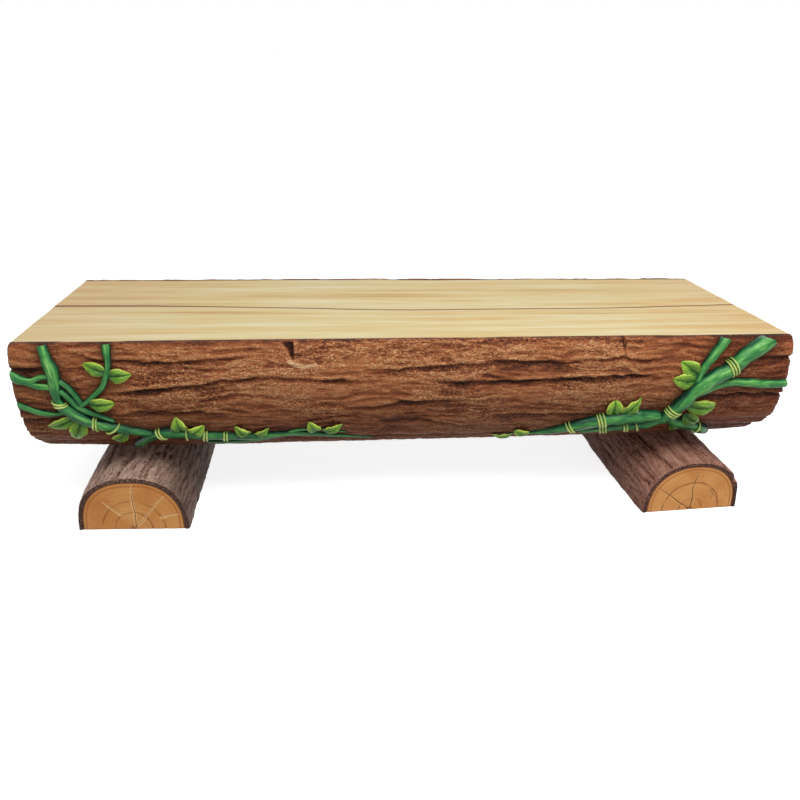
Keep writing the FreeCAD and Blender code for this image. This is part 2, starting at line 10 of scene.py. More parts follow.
import bpy
import numpy as np
from mathutils import Matrix, Vector


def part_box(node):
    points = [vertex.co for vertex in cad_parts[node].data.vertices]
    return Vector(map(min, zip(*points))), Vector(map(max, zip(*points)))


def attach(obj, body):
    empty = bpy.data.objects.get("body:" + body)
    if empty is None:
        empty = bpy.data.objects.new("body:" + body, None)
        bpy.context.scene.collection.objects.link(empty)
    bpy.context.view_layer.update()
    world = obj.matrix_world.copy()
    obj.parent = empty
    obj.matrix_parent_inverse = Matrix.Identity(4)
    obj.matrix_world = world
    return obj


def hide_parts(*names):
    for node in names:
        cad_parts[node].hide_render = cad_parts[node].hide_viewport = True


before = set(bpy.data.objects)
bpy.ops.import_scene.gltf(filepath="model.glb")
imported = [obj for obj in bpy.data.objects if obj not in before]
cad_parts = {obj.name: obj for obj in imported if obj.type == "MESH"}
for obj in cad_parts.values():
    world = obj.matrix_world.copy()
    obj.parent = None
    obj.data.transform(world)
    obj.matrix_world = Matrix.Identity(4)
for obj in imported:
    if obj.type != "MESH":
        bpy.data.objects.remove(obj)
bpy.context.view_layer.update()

scene = bpy.context.scene

# %% [markdown]
# ## Camera
# A viewing angle can be guessed by eye, or solved from corners whose place on the bench is known.
# Solving is surer: the corners of the seat and the ends of the feet gave this place, the three turns
# and the focal length.

# %% Camera
camera_data = bpy.data.cameras.new("view_camera")
camera_data.sensor_width = 36
camera_data.lens = 31.81
camera = bpy.data.objects.new("view_camera", camera_data)
scene.collection.objects.link(camera)
camera_place = (-0.2122, -1.7972, 0.9701)
yaw, pitch, roll = (math.radians(turn) for turn in (-6.215, 23.721, 1.397))
camera.matrix_world = (
    Matrix.Translation(camera_place)
    @ Matrix.Rotation(yaw, 4, "Z")
    @ Matrix.Rotation(math.pi / 2 - pitch, 4, "X")
    @ Matrix.Rotation(roll, 4, "Z")
)
scene.camera = camera
scene.view_settings.view_transform = "Standard"
print("camera lens", round(camera_data.lens, 2), "mm")

# %% [markdown]
# ## Node sums
# A material could be wired one node at a time, but long sums are then hard to read. One small class
# holds an output socket: a sum in Python adds the Math nodes, and its node method adds any other
# node, with the settings first and then the sockets. Geometry Nodes use the same class.


# %% Sockets as values
class Wire:
    """An output socket of a node tree, or the empty start of one."""

    def __init__(self, tree, socket=None):
        self.tree = tree
        self.socket = socket

    def node(self, kind, inputs=None, out=0, stops=None, **settings):
        made = self.tree.nodes.new(kind)
        for name, value in settings.items():
            setattr(made, name, value)
        if stops:
            ramp = made.color_ramp.elements
            for number, (place, colour) in enumerate(stops):
                stop = ramp[number] if number < 2 else ramp.new(place)
                stop.position = place
                stop.color = (*colour, 1)
        for key, value in (inputs or {}).items():
            for part in value if isinstance(value, list) else [value]:
                if isinstance(part, Wire):
                    self.tree.links.new(part.socket, made.inputs[key])
                else:
                    made.inputs[key].default_value = part
        return Wire(self.tree, made.outputs[out] if made.outputs else None)

    def math(self, operation, *values):
        return self.node("ShaderNodeMath", dict(enumerate(values)), operation=operation)

    def __add__(self, other):
        return self.math("ADD", self, other)

    def __sub__(self, other):
        return self.math("SUBTRACT", self, other)

    def __rsub__(self, other):
        return self.math("SUBTRACT", other, self)

    def __mul__(self, other):
        return self.math("MULTIPLY", self, other)

    def __truediv__(self, other):
        return self.math("DIVIDE", self, other)

    def __pow__(self, other):
        return self.math("POWER", self, other)

    __radd__ = __add__
    __rmul__ = __mul__

    def size(self):
        return self.math("ABSOLUTE", self)

    def ease(self, low, high):
        """0 below low, 1 above high, smooth between."""
        inputs = {0: self, 1: low, 2: high}
        return self.node("ShaderNodeMapRange", inputs, interpolation_type="SMOOTHSTEP")

    def mix(self, first, second, blend="MIX"):
        """One colour at 0 and the other at 1."""
        colours = [c if isinstance(c, Wire) else (*c, 1) for c in (first, second)]
        inputs = {0: self, 6: colours[0], 7: colours[1]}
        return self.node("ShaderNodeMix", inputs, out=2, data_type="RGBA", blend_type=blend)

    def ramp(self, *stops):
        """A colour ramp. The first two stops are its ends."""
        return self.node("ShaderNodeValToRGB", {0: self}, stops=stops)

    def noise(self, scale, detail=3, roughness=0.55):
        """Noise on this vector, stretched by a scale for each axis."""
        place = self.node("ShaderNodeMapping", {0: self, 3: tuple(scale)})
        inputs = {"Vector": place, "Scale": 1, "Detail": detail, "Roughness": roughness}
        return self.node("ShaderNodeTexNoise", inputs)


print("node sums ready")

# %% [markdown]
# Every finish starts from an empty material and ends in one shader. These helpers read the place on
# a piece, a number that its mesh carries at each point, and the three axes of a vector.


# %% Finish helpers
def new_finish(name):
    made = bpy.data.materials.new(name)
    made.use_nodes = True
    made.node_tree.nodes.clear()
    return made, Wire(made.node_tree)


def object_place(start):
    return start.node("ShaderNodeTexCoord", out=3)


def mark(start, name):
    """A number that the mesh carries at each point."""
    return start.node("ShaderNodeAttribute", out=2, attribute_name=name)


def axes_of(vector):
    outputs = vector.node("ShaderNodeSeparateXYZ", {0: vector}).socket.node.outputs
    return [Wire(vector.tree, socket) for socket in outputs]


def vector_of(x, y, z):
    wire = next(part for part in (x, y, z) if isinstance(part, Wire))
    return wire.node("ShaderNodeCombineXYZ", {0: x, 1: y, 2: z})


def surface(start, sockets, height=None, depth=0):
    """The shader and its output. A height adds fine bumps of that depth in metres."""
    if height:
        bump = start.node("ShaderNodeBump", {"Height": height, "Distance": depth})
        sockets = {**sockets, "Normal": bump}
    shader = start.node("ShaderNodeBsdfPrincipled", sockets)
    start.node("ShaderNodeOutputMaterial", {0: shader})


print("finish helpers ready")

# %% [markdown]
# ## Studio
# The bench stands on plain white. A bright floor would light the log from below, and the belly has
# to stay dark, so the floor shows white to the camera and is greyer to the light that bounces. It
# still takes the soft shadow of the feet.


# %% Floor
def seen_ray(start):
    """1 for rays that show the background: from the camera, off gloss and through glass."""
    path = start.node("ShaderNodeLightPath")
    outputs = path.socket.node.outputs
    names = ("Is Camera Ray", "Is Glossy Ray", "Is Transmission Ray")
    camera_ray, glossy_ray, clear_ray = (Wire(start.tree, outputs[name]) for name in names)
    return camera_ray.math("MAXIMUM", camera_ray, glossy_ray.math("MAXIMUM", glossy_ray, clear_ray))


floor_finish, start = new_finish("studio_floor")
shown = start.node("ShaderNodeBsdfDiffuse", {"Color": (0.8, 0.8, 0.8, 1)})
glow = start.node("ShaderNodeEmission", {"Color": (1, 1, 1, 1), "Strength": 0.80})
shown = start.node("ShaderNodeAddShader", {0: shown, 1: glow})
bounced = start.node("ShaderNodeBsdfDiffuse", {"Color": (0.42, 0.41, 0.40, 1)})
floor_mix = start.node("ShaderNodeMixShader", {0: seen_ray(start), 1: bounced, 2: shown})
start.node("ShaderNodeOutputMaterial", {0: floor_mix})

floor_mesh = bpy.data.meshes.new("studio_floor")
floor_reach, floor_drop = 60, 0.0005
corner_sides = ((-1, -1), (1, -1), (1, 1), (-1, 1))
corners = [(x * floor_reach, y * floor_reach, -floor_drop) for x, y in corner_sides]
floor_mesh.from_pydata(corners, [], [(0, 1, 2, 3)])
floor_mesh.materials.append(floor_finish)
floor = bpy.data.objects.new("studio_floor", floor_mesh)
scene.collection.objects.link(floor)
print("floor", 2 * floor_reach, "m wide")

# %% [markdown]
# The world is white to the camera and soft and bluish to the bench. Two wide area lamps, one over
# the front edge and one weaker in front, give the top its even light and leave the belly dark. A
# sun would draw hard shadows that the bench doesn't show.

# %% World and lamps
world = bpy.data.worlds.new("studio_world")
scene.world = world
world.use_nodes = True
world.node_tree.nodes.clear()
start = Wire(world.node_tree)
soft = start.node("ShaderNodeBackground", {0: (0.96, 0.98, 1.0, 1), 1: 0.36})
white = start.node("ShaderNodeBackground", {0: (1, 1, 1, 1), 1: 1})
world_mix = start.node("ShaderNodeMixShader", {0: seen_ray(start), 1: soft, 2: white})
start.node("ShaderNodeOutputWorld", {0: world_mix})


def lamp(name, place, target, size, power):
    data = bpy.data.lights.new(name, "AREA")
    data.shape = "RECTANGLE"
    data.size, data.size_y = size
    data.energy = power
    made = bpy.data.objects.new(name, data)
    scene.collection.objects.link(made)
    made.location = place
    made.rotation_euler = (Vector(target) - Vector(place)).to_track_quat("-Z", "Y").to_euler()


lamp("lamp_over", place=(0.45, -1.25, 2.75), target=(0.1, -0.1, 0.3), size=(2.4, 1.5), power=62)
lamp("lamp_front", place=(0.9, -3.2, 1.2), target=(0.1, -0.2, 0.3), size=(2.2, 1.4), power=16)
print("world and two lamps ready")

# %% [markdown]
# ## The log's section
# The bark follows one cross-section: nearly straight at the rim, widest a little below it, and
# flattened at the belly. A place on the bark is a distance along the log and a share of the way
# round: 0 is the front rim, 1 the middle of the belly, 2 the rear rim. The same two numbers place
# the creepers, so they sit on the bark without any fitting.

# %% Places on the bark
log_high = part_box("log_shell")[1]
half_length = log_high.x
seat_height = log_high.z
belly_height = 0.112
rim_half_depth = 0.284
bulge_half_depth = 0.299
bulge_height = 0.365
section_power = 2.4
shell_inset = 0.017

rim_rise = seat_height - bulge_height
upper_axis = rim_rise / math.sqrt(1 - (rim_half_depth / bulge_half_depth) ** 2)
upper_z = np.linspace(seat_height, bulge_height, 200, endpoint=False)
upper_y = -bulge_half_depth * np.sqrt(1 - ((upper_z - bulge_height) / upper_axis) ** 2)
turns = np.linspace(0, math.pi / 2, 600)
lower_y = -bulge_half_depth * np.cos(turns).clip(0) ** (2 / section_power)
lower_z = bulge_height - (bulge_height - belly_height) * np.sin(turns) ** (2 / section_power)
front_half = np.column_stack([np.r_[upper_y, lower_y], np.r_[upper_z, lower_z]])
section = np.vstack([front_half, front_half[-2::-1] * (-1, 1)])
section_run = np.r_[0, np.cumsum(np.hypot(*np.diff(section, axis=0).T))]
half_girth = section_run[-1] / 2
slope = np.gradient(section, section_run, axis=0)
section_normal = np.column_stack([slope[:, 1], -slope[:, 0]])
section_normal /= np.linalg.norm(section_normal, axis=1)[:, None]


def bark_point(along, girth, lift=0.0):
    """Points at a height over the crown line, for arrays of places."""
    run = np.asarray(girth) * half_girth
    y, z, out_y, out_z = (
        np.interp(run, section_run, column) for column in (*section.T, *section_normal.T)
    )
    x = np.broadcast_to(along, y.shape)
    return np.stack([x, y + out_y * lift, z + out_z * lift], -1)


def bark_normal(girth):
    run = np.asarray(girth) * half_girth
    out_y, out_z = (np.interp(run, section_run, column) for column in section_normal.T)
    return np.stack([np.zeros_like(out_y), out_y, out_z], -1)


print("half girth", round(half_girth, 4), "m")

# %% [markdown]
# ## Noise and paths
# Bark needs relief that is rough but the same every run. A lattice of fixed random slopes gives
# smooth noise, and octaves of it give fibres and chips. A second helper measures how far each
# point is from a drawn line, for grooves and cracks.


# %% Noise and distance
def noise(x, y, seed):
    """Smooth noise from about -1 to 1, on a lattice of one unit."""
    angle = np.random.default_rng(seed).uniform(0, 2 * math.pi, (256, 256))
    column, row = np.floor(x).astype(int), np.floor(y).astype(int)
    right, up = x - column, y - row

    def corner(step_x, step_y):
        lean = angle[(column + step_x) % 256, (row + step_y) % 256]
        return np.cos(lean) * (right - step_x) + np.sin(lean) * (up - step_y)

    ease_x, ease_y = (part**3 * (part * (part * 6 - 15) + 10) for part in (right, up))
    near = corner(0, 0) * (1 - ease_x) + corner(1, 0) * ease_x
    far = corner(0, 1) * (1 - ease_x) + corner(1, 1) * ease_x
    return 1.5 * (near * (1 - ease_y) + far * ease_y)


def octaves(x, y, seed, count):
    return sum(noise(x * 2**k, y * 2**k, seed + k) / 2**k for k in range(count))


def path_distance(x, y, path):
    """Distance of each point from a path, and the share of the path's length at the nearest place."""
    path = np.array(path, float)
    lengths = np.hypot(*np.diff(path, axis=0).T)
    nearest, share, done = np.full(x.shape, 9.0), np.zeros(x.shape), 0.0
    for (x0, y0), (step_x, step_y), length in zip(path, np.diff(path, axis=0), lengths):
        part = (((x - x0) * step_x + (y - y0) * step_y) / length**2).clip(0, 1)
        gap = np.hypot(x - x0 - part * step_x, y - y0 - part * step_y)
        closer = gap < nearest
        nearest = np.where(closer, gap, nearest)
        share = np.where(closer, (done + part * length) / lengths.sum(), share)
        done += length
    return nearest, share


def blurred(values, reach):
    """Average over a square of grid points, taken twice."""
    for axis in (0, 1, 0, 1):
        margin = [(reach, reach) if side == axis else (0, 0) for side in (0, 1)]
        padded = np.pad(values, margin, mode="edge")
        count = values.shape[axis]
        shifted = [np.take(padded, range(k, k + count), axis) for k in range(2 * reach + 1)]
        values = sum(shifted) / len(shifted)
    return values


print("noise at a fixed point", round(float(noise(np.array(0.3), np.array(0.7), 1)), 4))

# %% [markdown]
# ## Creeper paths
# Each stem runs over the bark through a few listed points: along the log and round the section
# as shares, and a thickness as a share of its root. They are the solids' own points, so each stem
# stays where its solid is. They come before the bark, because the bark swells a little to meet them.

# %% Stems, leaves and lashings
stem_paths = {
    "left_trunk": (0.0262, (
        (-0.459, 0.012, 0.75), (-0.455, 0.063, 0.90), (-0.450, 0.115, 1.00), (-0.450, 0.180, 0.92),
        (-0.450, 0.235, 0.75), (-0.444, 0.278, 0.90), (-0.430, 0.318, 1.00), (-0.414, 0.357, 0.95),
        (-0.391, 0.390, 0.85), (-0.365, 0.420, 0.75), (-0.350, 0.437, 0.65))),
    "left_fork": (0.0195, (
        (-0.499, 0.124, 0.90), (-0.489, 0.145, 1.00), (-0.477, 0.152, 0.75), (-0.466, 0.138, 0.65),
        (-0.454, 0.138, 0.65), (-0.443, 0.158, 0.70), (-0.434, 0.188, 0.70), (-0.428, 0.224, 0.65),
        (-0.424, 0.258, 0.60))),
    "left_under": (0.0162, (
        (-0.484, 0.158, 0.85), (-0.470, 0.174, 0.95), (-0.457, 0.180, 0.95), (-0.444, 0.202, 0.90),
        (-0.435, 0.236, 0.85), (-0.429, 0.271, 0.85), (-0.418, 0.298, 0.80), (-0.405, 0.321, 0.75),
        (-0.391, 0.350, 0.60))),
    "left_shoot": (0.0162, (
        (-0.386, 0.012, 1.05), (-0.385, 0.050, 0.95), (-0.385, 0.092, 0.80), (-0.389, 0.140, 0.80),
        (-0.396, 0.187, 0.80), (-0.406, 0.220, 0.75), (-0.416, 0.248, 0.70), (-0.425, 0.272, 0.60))),
    "left_low": (0.0126, (
        (-0.499, 0.257, 1.00), (-0.488, 0.277, 1.00), (-0.476, 0.297, 1.00), (-0.462, 0.307, 0.90),
        (-0.444, 0.304, 0.75))),
    "left_runner": (0.0240, (
        (-0.372, 0.545, 0.80), (-0.353, 0.468, 0.95), (-0.332, 0.432, 1.05), (-0.308, 0.441, 1.05),
        (-0.283, 0.460, 0.95), (-0.250, 0.473, 0.85), (-0.218, 0.482, 0.75), (-0.183, 0.468, 0.62),
        (-0.150, 0.470, 0.52), (-0.116, 0.495, 0.42), (-0.081, 0.524, 0.30), (-0.060, 0.545, 0.18))),
    "left_twist": (0.0093, (
        (-0.282, 0.560, 0.80), (-0.254, 0.560, 1.00), (-0.222, 0.540, 1.00), (-0.192, 0.500, 0.90),
        (-0.165, 0.448, 0.80), (-0.133, 0.440, 0.70), (-0.098, 0.470, 0.50))),
    "right_trunk": (0.0390, (
        (0.463, 0.018, 0.98), (0.437, 0.077, 1.00), (0.419, 0.126, 0.95), (0.401, 0.168, 0.92),
        (0.381, 0.212, 0.90), (0.369, 0.254, 0.88), (0.360, 0.300, 0.85), (0.351, 0.349, 0.80),
        (0.342, 0.398, 0.70), (0.335, 0.422, 0.60))),
    "right_strand": (0.0275, (
        (0.344, 0.388, 0.60), (0.335, 0.422, 0.80), (0.322, 0.446, 0.95), (0.304, 0.466, 0.82),
        (0.276, 0.484, 0.70), (0.250, 0.503, 0.57), (0.233, 0.525, 0.40))),
    "right_shoot": (0.0252, (
        (0.403, 0.014, 1.00), (0.390, 0.075, 0.88), (0.379, 0.126, 0.75), (0.373, 0.180, 0.65),
        (0.369, 0.232, 0.55))),
    "right_side": (0.0205, (
        (0.499, 0.220, 0.90), (0.468, 0.222, 1.00), (0.440, 0.211, 0.95), (0.418, 0.211, 0.95),
        (0.397, 0.230, 0.90), (0.380, 0.262, 0.85), (0.364, 0.294, 0.80))),
    "right_runner": (0.0330, (
        (0.328, 0.388, 0.85), (0.303, 0.388, 1.00), (0.281, 0.397, 1.00), (0.258, 0.406, 1.00),
        (0.237, 0.425, 0.95), (0.216, 0.453, 0.85), (0.196, 0.486, 0.65), (0.176, 0.516, 0.45),
        (0.157, 0.530, 0.28), (0.133, 0.534, 0.18))),
    "right_branch": (0.0285, (
        (0.347, 0.380, 0.65), (0.355, 0.420, 0.95), (0.366, 0.442, 1.00), (0.382, 0.462, 1.00),
        (0.400, 0.492, 0.95), (0.417, 0.535, 0.85))),
}


def smooth_path(rows, steps):
    """Rows of numbers on a smooth line through the given rows."""
    rows = np.array(rows, float)
    rows = np.vstack([2 * rows[0] - rows[1], rows, 2 * rows[-1] - rows[-2]])
    made = []
    for a, b, c, d in zip(rows, rows[1:], rows[2:], rows[3:]):
        for t in np.arange(steps) / steps:
            bend = 2 * a - 5 * b + 4 * c - d + t * (3 * b - a - 3 * c + d)
            made.append(b + 0.5 * t * (c - a + t * bend))
    return np.array(made + [rows[-2]])


def stem_line(name):
    """Along (m), girth share and radius (m) on a stem's smooth line."""
    root, rows = stem_paths[name]
    line = smooth_path(rows, 7)
    return line * (2 * half_length, 1, root * half_girth)


stem_lines = {name: stem_line(name) for name in stem_paths}
print(len(stem_lines), "stems,", sum(len(line) for line in stem_lines.values()), "points")

# %% [markdown]
# ## Bark relief
# The bark could be bumps in a material, but its grooves show in the outline at the ends, so they are
# real. The main grooves follow lines drawn as on the bench; the rest of the belly and the back get
# wandering grooves by rule.

# %% Groove lines
front_grooves = (  # depth and half width in mm, then (along in m, girth share)
    (10, 5, ((-0.990, 0.100), (-0.857, 0.101), (-0.79, 0.099))),
    (9, 5.5, ((-0.698, 0.221), (-0.589, 0.202), (-0.500, 0.187), (-0.449, 0.170), (-0.374, 0.155),
              (-0.309, 0.157), (-0.244, 0.168), (-0.188, 0.179), (-0.13, 0.186))),
    (8, 6, ((-0.202, 0.313), (-0.114, 0.306), (-0.046, 0.288), (0.022, 0.280), (0.113, 0.284))),
    (8, 5, ((-0.092, 0.137), (-0.048, 0.125), (0.018, 0.118), (0.083, 0.111), (0.182, 0.109))),
    (7, 11, ((0.020, 0.196), (0.100, 0.194), (0.154, 0.181))),
    (10, 5, ((0.114, 0.189), (0.197, 0.192), (0.271, 0.185), (0.331, 0.183), (0.414, 0.185),
             (0.453, 0.175), (0.522, 0.174), (0.587, 0.179))),
    (7, 4.5, ((0.128, 0.107), (0.198, 0.096), (0.277, 0.102), (0.356, 0.109), (0.409, 0.097),
              (0.479, 0.090), (0.533, 0.105), (0.604, 0.089))),
    (7, 5, ((0.170, 0.372), (0.246, 0.366), (0.304, 0.374), (0.379, 0.374), (0.47, 0.381))),
    (6, 5, ((-0.791, 0.037), (-0.709, 0.068), (-0.635, 0.078), (-0.561, 0.080), (-0.474, 0.074),
            (-0.387, 0.064))),
    (6, 6, ((-0.708, 0.326), (-0.641, 0.313), (-0.596, 0.310), (-0.508, 0.325), (-0.419, 0.336))),
    (6, 4.5, ((-0.117, 0.391), (-0.058, 0.388), (0.003, 0.385), (0.090, 0.428), (0.179, 0.453))),
    (10, 6, ((0.62, 0.288), (0.687, 0.276), (0.765, 0.279), (0.842, 0.277), (0.99, 0.280))),
    (10, 5.5, ((0.69, 0.108), (0.772, 0.097), (0.818, 0.094), (0.99, 0.091))),
    (10, 7, ((0.74, 0.498), (0.82, 0.505), (0.99, 0.510))),
    (7, 6, ((-0.990, 0.330), (-0.84, 0.340), (-0.76, 0.352))),
)
rule_groove_shares = np.array((0.54, 0.67, 0.80, 0.93, 1.07, 1.20, 1.33, 1.46, 1.59, 1.73, 1.89))
print(len(front_grooves), "drawn grooves,", len(rule_groove_shares), "by rule")

# %% [markdown]
# A bell curve of the distance from a line makes a groove. A drawn one is steep above its line and
# easy below it, as where a plate of bark overhangs the next. Fibres and crinkles between the grooves
# come from noise that is stretched along the log.


# %% Groove shapes
def bell(distance, width, power=2.0):
    return np.exp(-np.abs(distance / width) ** power)


def fibres(along, round_run, seed):
    """Fine relief of bark in metres: broad swells, long fibres, crinkles and chips."""
    bend = 0.011 * octaves(along / 0.17, round_run / 0.07, seed, 3)
    run = round_run + bend
    broad = octaves(along / 0.50, run / 0.080, seed + 10, 2)
    fibre = 1 - 2 * np.abs(octaves(along / 0.135, run / 0.0160, seed + 20, 3))
    crinkle = 0.5 - 2 * np.abs(octaves(along / 0.034, run / 0.0125, seed + 30, 2))
    patch = (0.62 + 0.75 * noise(along / 0.13, run / 0.06, seed + 40)).clip(0.15, 1.3)
    return 0.0022 * broad + 0.0021 * (fibre - 0.45) + patch * (0.0010 * fibre + 0.0012 * crinkle)


def rule_grooves(along, round_run, lines, depth, width, seed):
    """Grooves at given runs round the section that wander, fade and come back."""
    relief = np.zeros_like(along)
    for number, line in enumerate(lines):
        wander = 0.016 * octaves(along / 0.34, along * 0 + number * 3.3, seed + number, 3)
        patch = 0.62 + 0.75 * noise(along / 0.22, along * 0 + number * 5.7, seed + 50)
        relief -= depth * patch.clip(0.12, 1) * bell(round_run - line - wander, width, 1.5)
    return relief


def drawn_grooves(along, girth, seed):
    """Relief of the drawn grooves (m), and a mark from 0 to 1 for the shade painted in them."""
    run = girth * half_girth
    shaken = run + 0.0040 * octaves(along / 0.07, run / 0.05, seed, 3)
    shaken = shaken + 0.0012 * noise(along / 0.012, run / 0.02, seed + 9)
    relief, shade = np.zeros_like(along), np.zeros_like(along)
    for depth, width, path in front_grooves:
        path = np.array(path)
        below = (shaken - np.interp(along, path[:, 0], path[:, 1] * half_girth)) / (width / 1000)
        ends = np.minimum(along - path[0, 0], path[-1, 0] - along)
        patch = 0.90 + 0.5 * noise(along / 0.08, along * 0 + depth + width, seed + 3)
        strength = (ends / 0.06).clip(0, 1) * patch.clip(0.5, 1.15)
        cut = np.where(below < 0, bell(below, 0.40), bell(below, 1.35, 1.3))
        relief += strength * depth / 1000 * (0.25 * bell(below + 1.3, 0.9) - cut)
        shadow = np.where(below < 0, bell(below, 0.45), bell(below, 2.9, 1.4))
        shade = np.maximum(shade, strength * shadow)
    return relief, shade


print("groove shapes ready")

# %% [markdown]
# ## Chips in the rim
# The front rim has a V-shaped chip with a pale curled ledge under it, and a short crack further
# right. The rear rim has a small nick. They are cut by distance, like the grooves.


# %% Notches
def rim_chips(along, girth):
    """Relief of the chips (m), and a mark from 0 to 1 where bare, pale bark shows."""
    run = girth * half_girth
    front = girth < 1
    apex, left, right = 0.047, -0.322, -0.2915
    slant = left + (right - left) * (run / apex).clip(0, 1) ** 0.80
    inside = ((along - slant) / (0.8 * (right - slant) + 0.002)).clip(0, 1)
    inside = inside * (along < right) * (run < apex) * front * (run / 0.003).clip(0, 1)
    relief = -0.0130 * inside**0.7
    ledge_line = ((-0.300, 0.046), (-0.287, 0.054), (-0.264, 0.058), (-0.242, 0.053))
    ledge, part = path_distance(along, run, ledge_line)
    pale = bell(ledge, 0.0056 - 0.0026 * part) * front
    relief += 0.0055 * pale
    crack_line = ((0.4765, 0.0), (0.479, 0.018), (0.482, 0.042))
    crack, share = path_distance(along, run, crack_line)
    relief -= 0.007 * (1 - 0.5 * share) * bell(crack, 0.0042 * (1.15 - share), 3) * front
    nick = np.hypot(along - 0.285, (2 - girth) * half_girth * 1.4)
    relief -= 0.010 * bell(nick, 0.012)
    return relief, pale


print("rim chips ready")

# %% [markdown]
# ## Marks for the paint
# A brush with little paint catches only what stands out, so the relief is compared with its own
# blurred copy. Round the stems the bark is smooth, so their lines give a close swell and a wider
# halo of painted shade, where shade falls beside them.


# %% Brush and halo
def dry_brush(relief, reach):
    """How far each grid point stands out of its surroundings, -1 to 1."""
    return ((relief - blurred(relief, reach)) / 0.0011).clip(-1, 1)


def stem_swell(along, girth):
    """1 under a stem and 0 away from it, once close and once as a wider halo of painted shade."""
    run, swell, halo = girth * half_girth, np.zeros_like(along), np.zeros_like(along)
    for line in stem_lines.values():
        gap, share = path_distance(along, run, line[::3, :2] * (1, half_girth))
        radius = np.interp(share, np.linspace(0, 1, len(line)), line[:, 2])
        swell = np.maximum(swell, bell(gap, 1.25 * radius + 0.002))
        halo = np.maximum(halo, bell(gap, 1.7 * radius + 0.008))
    return swell, halo


print("brush and halo ready")

# %% [markdown]
# ## The whole relief
# The heights are added up, and the log's underside rises a little towards its ends. Four numbers go
# with each point for the paint: how deep it lies, how far it stands out for the dry brush, where bare
# bark shows, and where painted shade darkens the bark round the stems and under the ledges. Near the
# rim no groove may reach the board behind the bark.

# %% Log relief
highest_plate = 0.0032
deepest_groove = 0.0145
end_rise = 0.011


def log_relief(along, girth, seed):
    """Relief of the log's bark (m), and its marks for the paint."""
    run = girth * half_girth
    relief = 0.0004 + fibres(along, run, seed)
    rule_lines = rule_groove_shares * half_girth
    relief += rule_grooves(along, run, rule_lines, depth=0.008, width=0.0060, seed=seed + 60)
    halo = np.zeros_like(along)
    if girth.min() < 0.5:
        grooves, shade = drawn_grooves(along, girth, seed + 90)
        relief += grooves
        swell, halo = stem_swell(along, girth)
        halo = np.maximum(halo, 0.50 * shade)
        relief += swell * (-0.0010 - relief)
    chips, pale = rim_chips(along, girth)
    relief = np.minimum(relief + chips, highest_plate)
    from_rim = np.minimum(girth, 2 - girth)
    rim = from_rim * half_girth
    end = half_length - np.abs(along)
    depth = (0.9 + (0.55 * relief + 0.45 * blurred(relief, 4)) / 0.0105).clip(0, 1)
    depth = depth * (1 - 0.30 * np.exp(-rim / 0.006))
    marks = {"depth": depth, "brush": dry_brush(relief, 3), "bare": pale, "halo": halo}
    relief = relief - 0.0035 * np.exp(-rim / 0.005) - 0.0018 * np.exp(-((end / 0.006) ** 2))
    taper = end_rise * ((np.abs(along) - 0.3) / 0.6).clip(0) ** 2
    low = ((from_rim - 0.40) / 0.16).clip(0, 1)
    relief = relief - taper * low**2 * (3 - 2 * low)
    in_front_of_board = 0.0075 + 0.30 * rim
    return np.maximum(relief, -np.minimum(deepest_groove, in_front_of_board)), marks


print("relief ready")

# %% [markdown]
# ## Building a bark wall
# A single sheet would be thin at the rim and ends, so each wall is closed: a fine outer grid, a
# coarse inner grid, and strips between their borders. The strips are many-sided faces, so the inside
# stays light.


# %% Closed walls
def grid_faces(index):
    quads = (index[:-1, :-1], index[1:, :-1], index[1:, 1:], index[:-1, 1:])
    return np.stack(quads, -1).reshape(-1, 4).tolist()


def wall_faces(outer_shape, inner_shape):
    """Faces of a fine outer grid, a coarse inner one and the strips that join their borders."""
    fine = np.arange(math.prod(outer_shape)).reshape(outer_shape)
    coarse = fine.size + np.arange(math.prod(inner_shape)).reshape(inner_shape)
    faces = grid_faces(fine.T) + grid_faces(coarse)
    borders = (
        (fine[:, 0], coarse[:, 0], 1), (fine[:, -1], coarse[:, -1], -1),
        (fine[0], coarse[0], -1), (fine[-1], coarse[-1], 1),
    )
    for outer_edge, inner_edge, turn in borders:
        step = (len(outer_edge) - 1) // (len(inner_edge) - 1)
        for number in range(len(inner_edge) - 1):
            outer_part = outer_edge[number * step:(number + 1) * step + 1]
            strip = [*outer_part, inner_edge[number + 1], inner_edge[number]]
            faces.append([int(point) for point in strip[::turn]])
    return faces


print("faces of a small wall:", len(wall_faces((5, 5), (3, 3))))

# %% [markdown]
# Points, faces, finish and marks become a Blender object. Its faces are smooth on the outer grid and
# flat elsewhere. Each piece then rides on the bench's one body and names the solids it stands for.


# %% Pieces
def make_piece(name, points, faces, finish, marks=None, smooth_count=None):
    """A mesh at the origin whose first faces are smooth, with a number at each point for every mark."""
    mesh = bpy.data.meshes.new(name)
    mesh.from_pydata(np.asarray(points).tolist(), [], faces)
    for mark_name, values in (marks or {}).items():
        layer = mesh.attributes.new(mark_name, "FLOAT", "POINT")
        layer.data.foreach_set("value", np.asarray(values, np.float32).ravel())
    mesh.materials.append(finish)
    smooth = np.arange(len(faces)) < (smooth_count or len(faces))
    mesh.polygons.foreach_set("use_smooth", smooth)
    piece = bpy.data.objects.new(name, mesh)
    scene.collection.objects.link(piece)
    return piece


def closed_wall(name, outer, inner, finish, marks, inner_marks):
    """A wall from two grids of points. Marks are grids, and inner marks one number for each word."""
    outer_shape, inner_shape = outer.shape[:2], inner.shape[:2]
    inside = math.prod(inner_shape)
    marks = {
        word: np.r_[values.ravel(), np.full(inside, inner_marks.get(word, 0.0))]
        for word, values in marks.items()
    }
    points = np.concatenate([outer.reshape(-1, 3), inner.reshape(-1, 3)])
    smooth_count = (outer_shape[0] - 1) * (outer_shape[1] - 1)
    return make_piece(name, points, wall_faces(outer_shape, inner_shape), finish, marks, smooth_count)


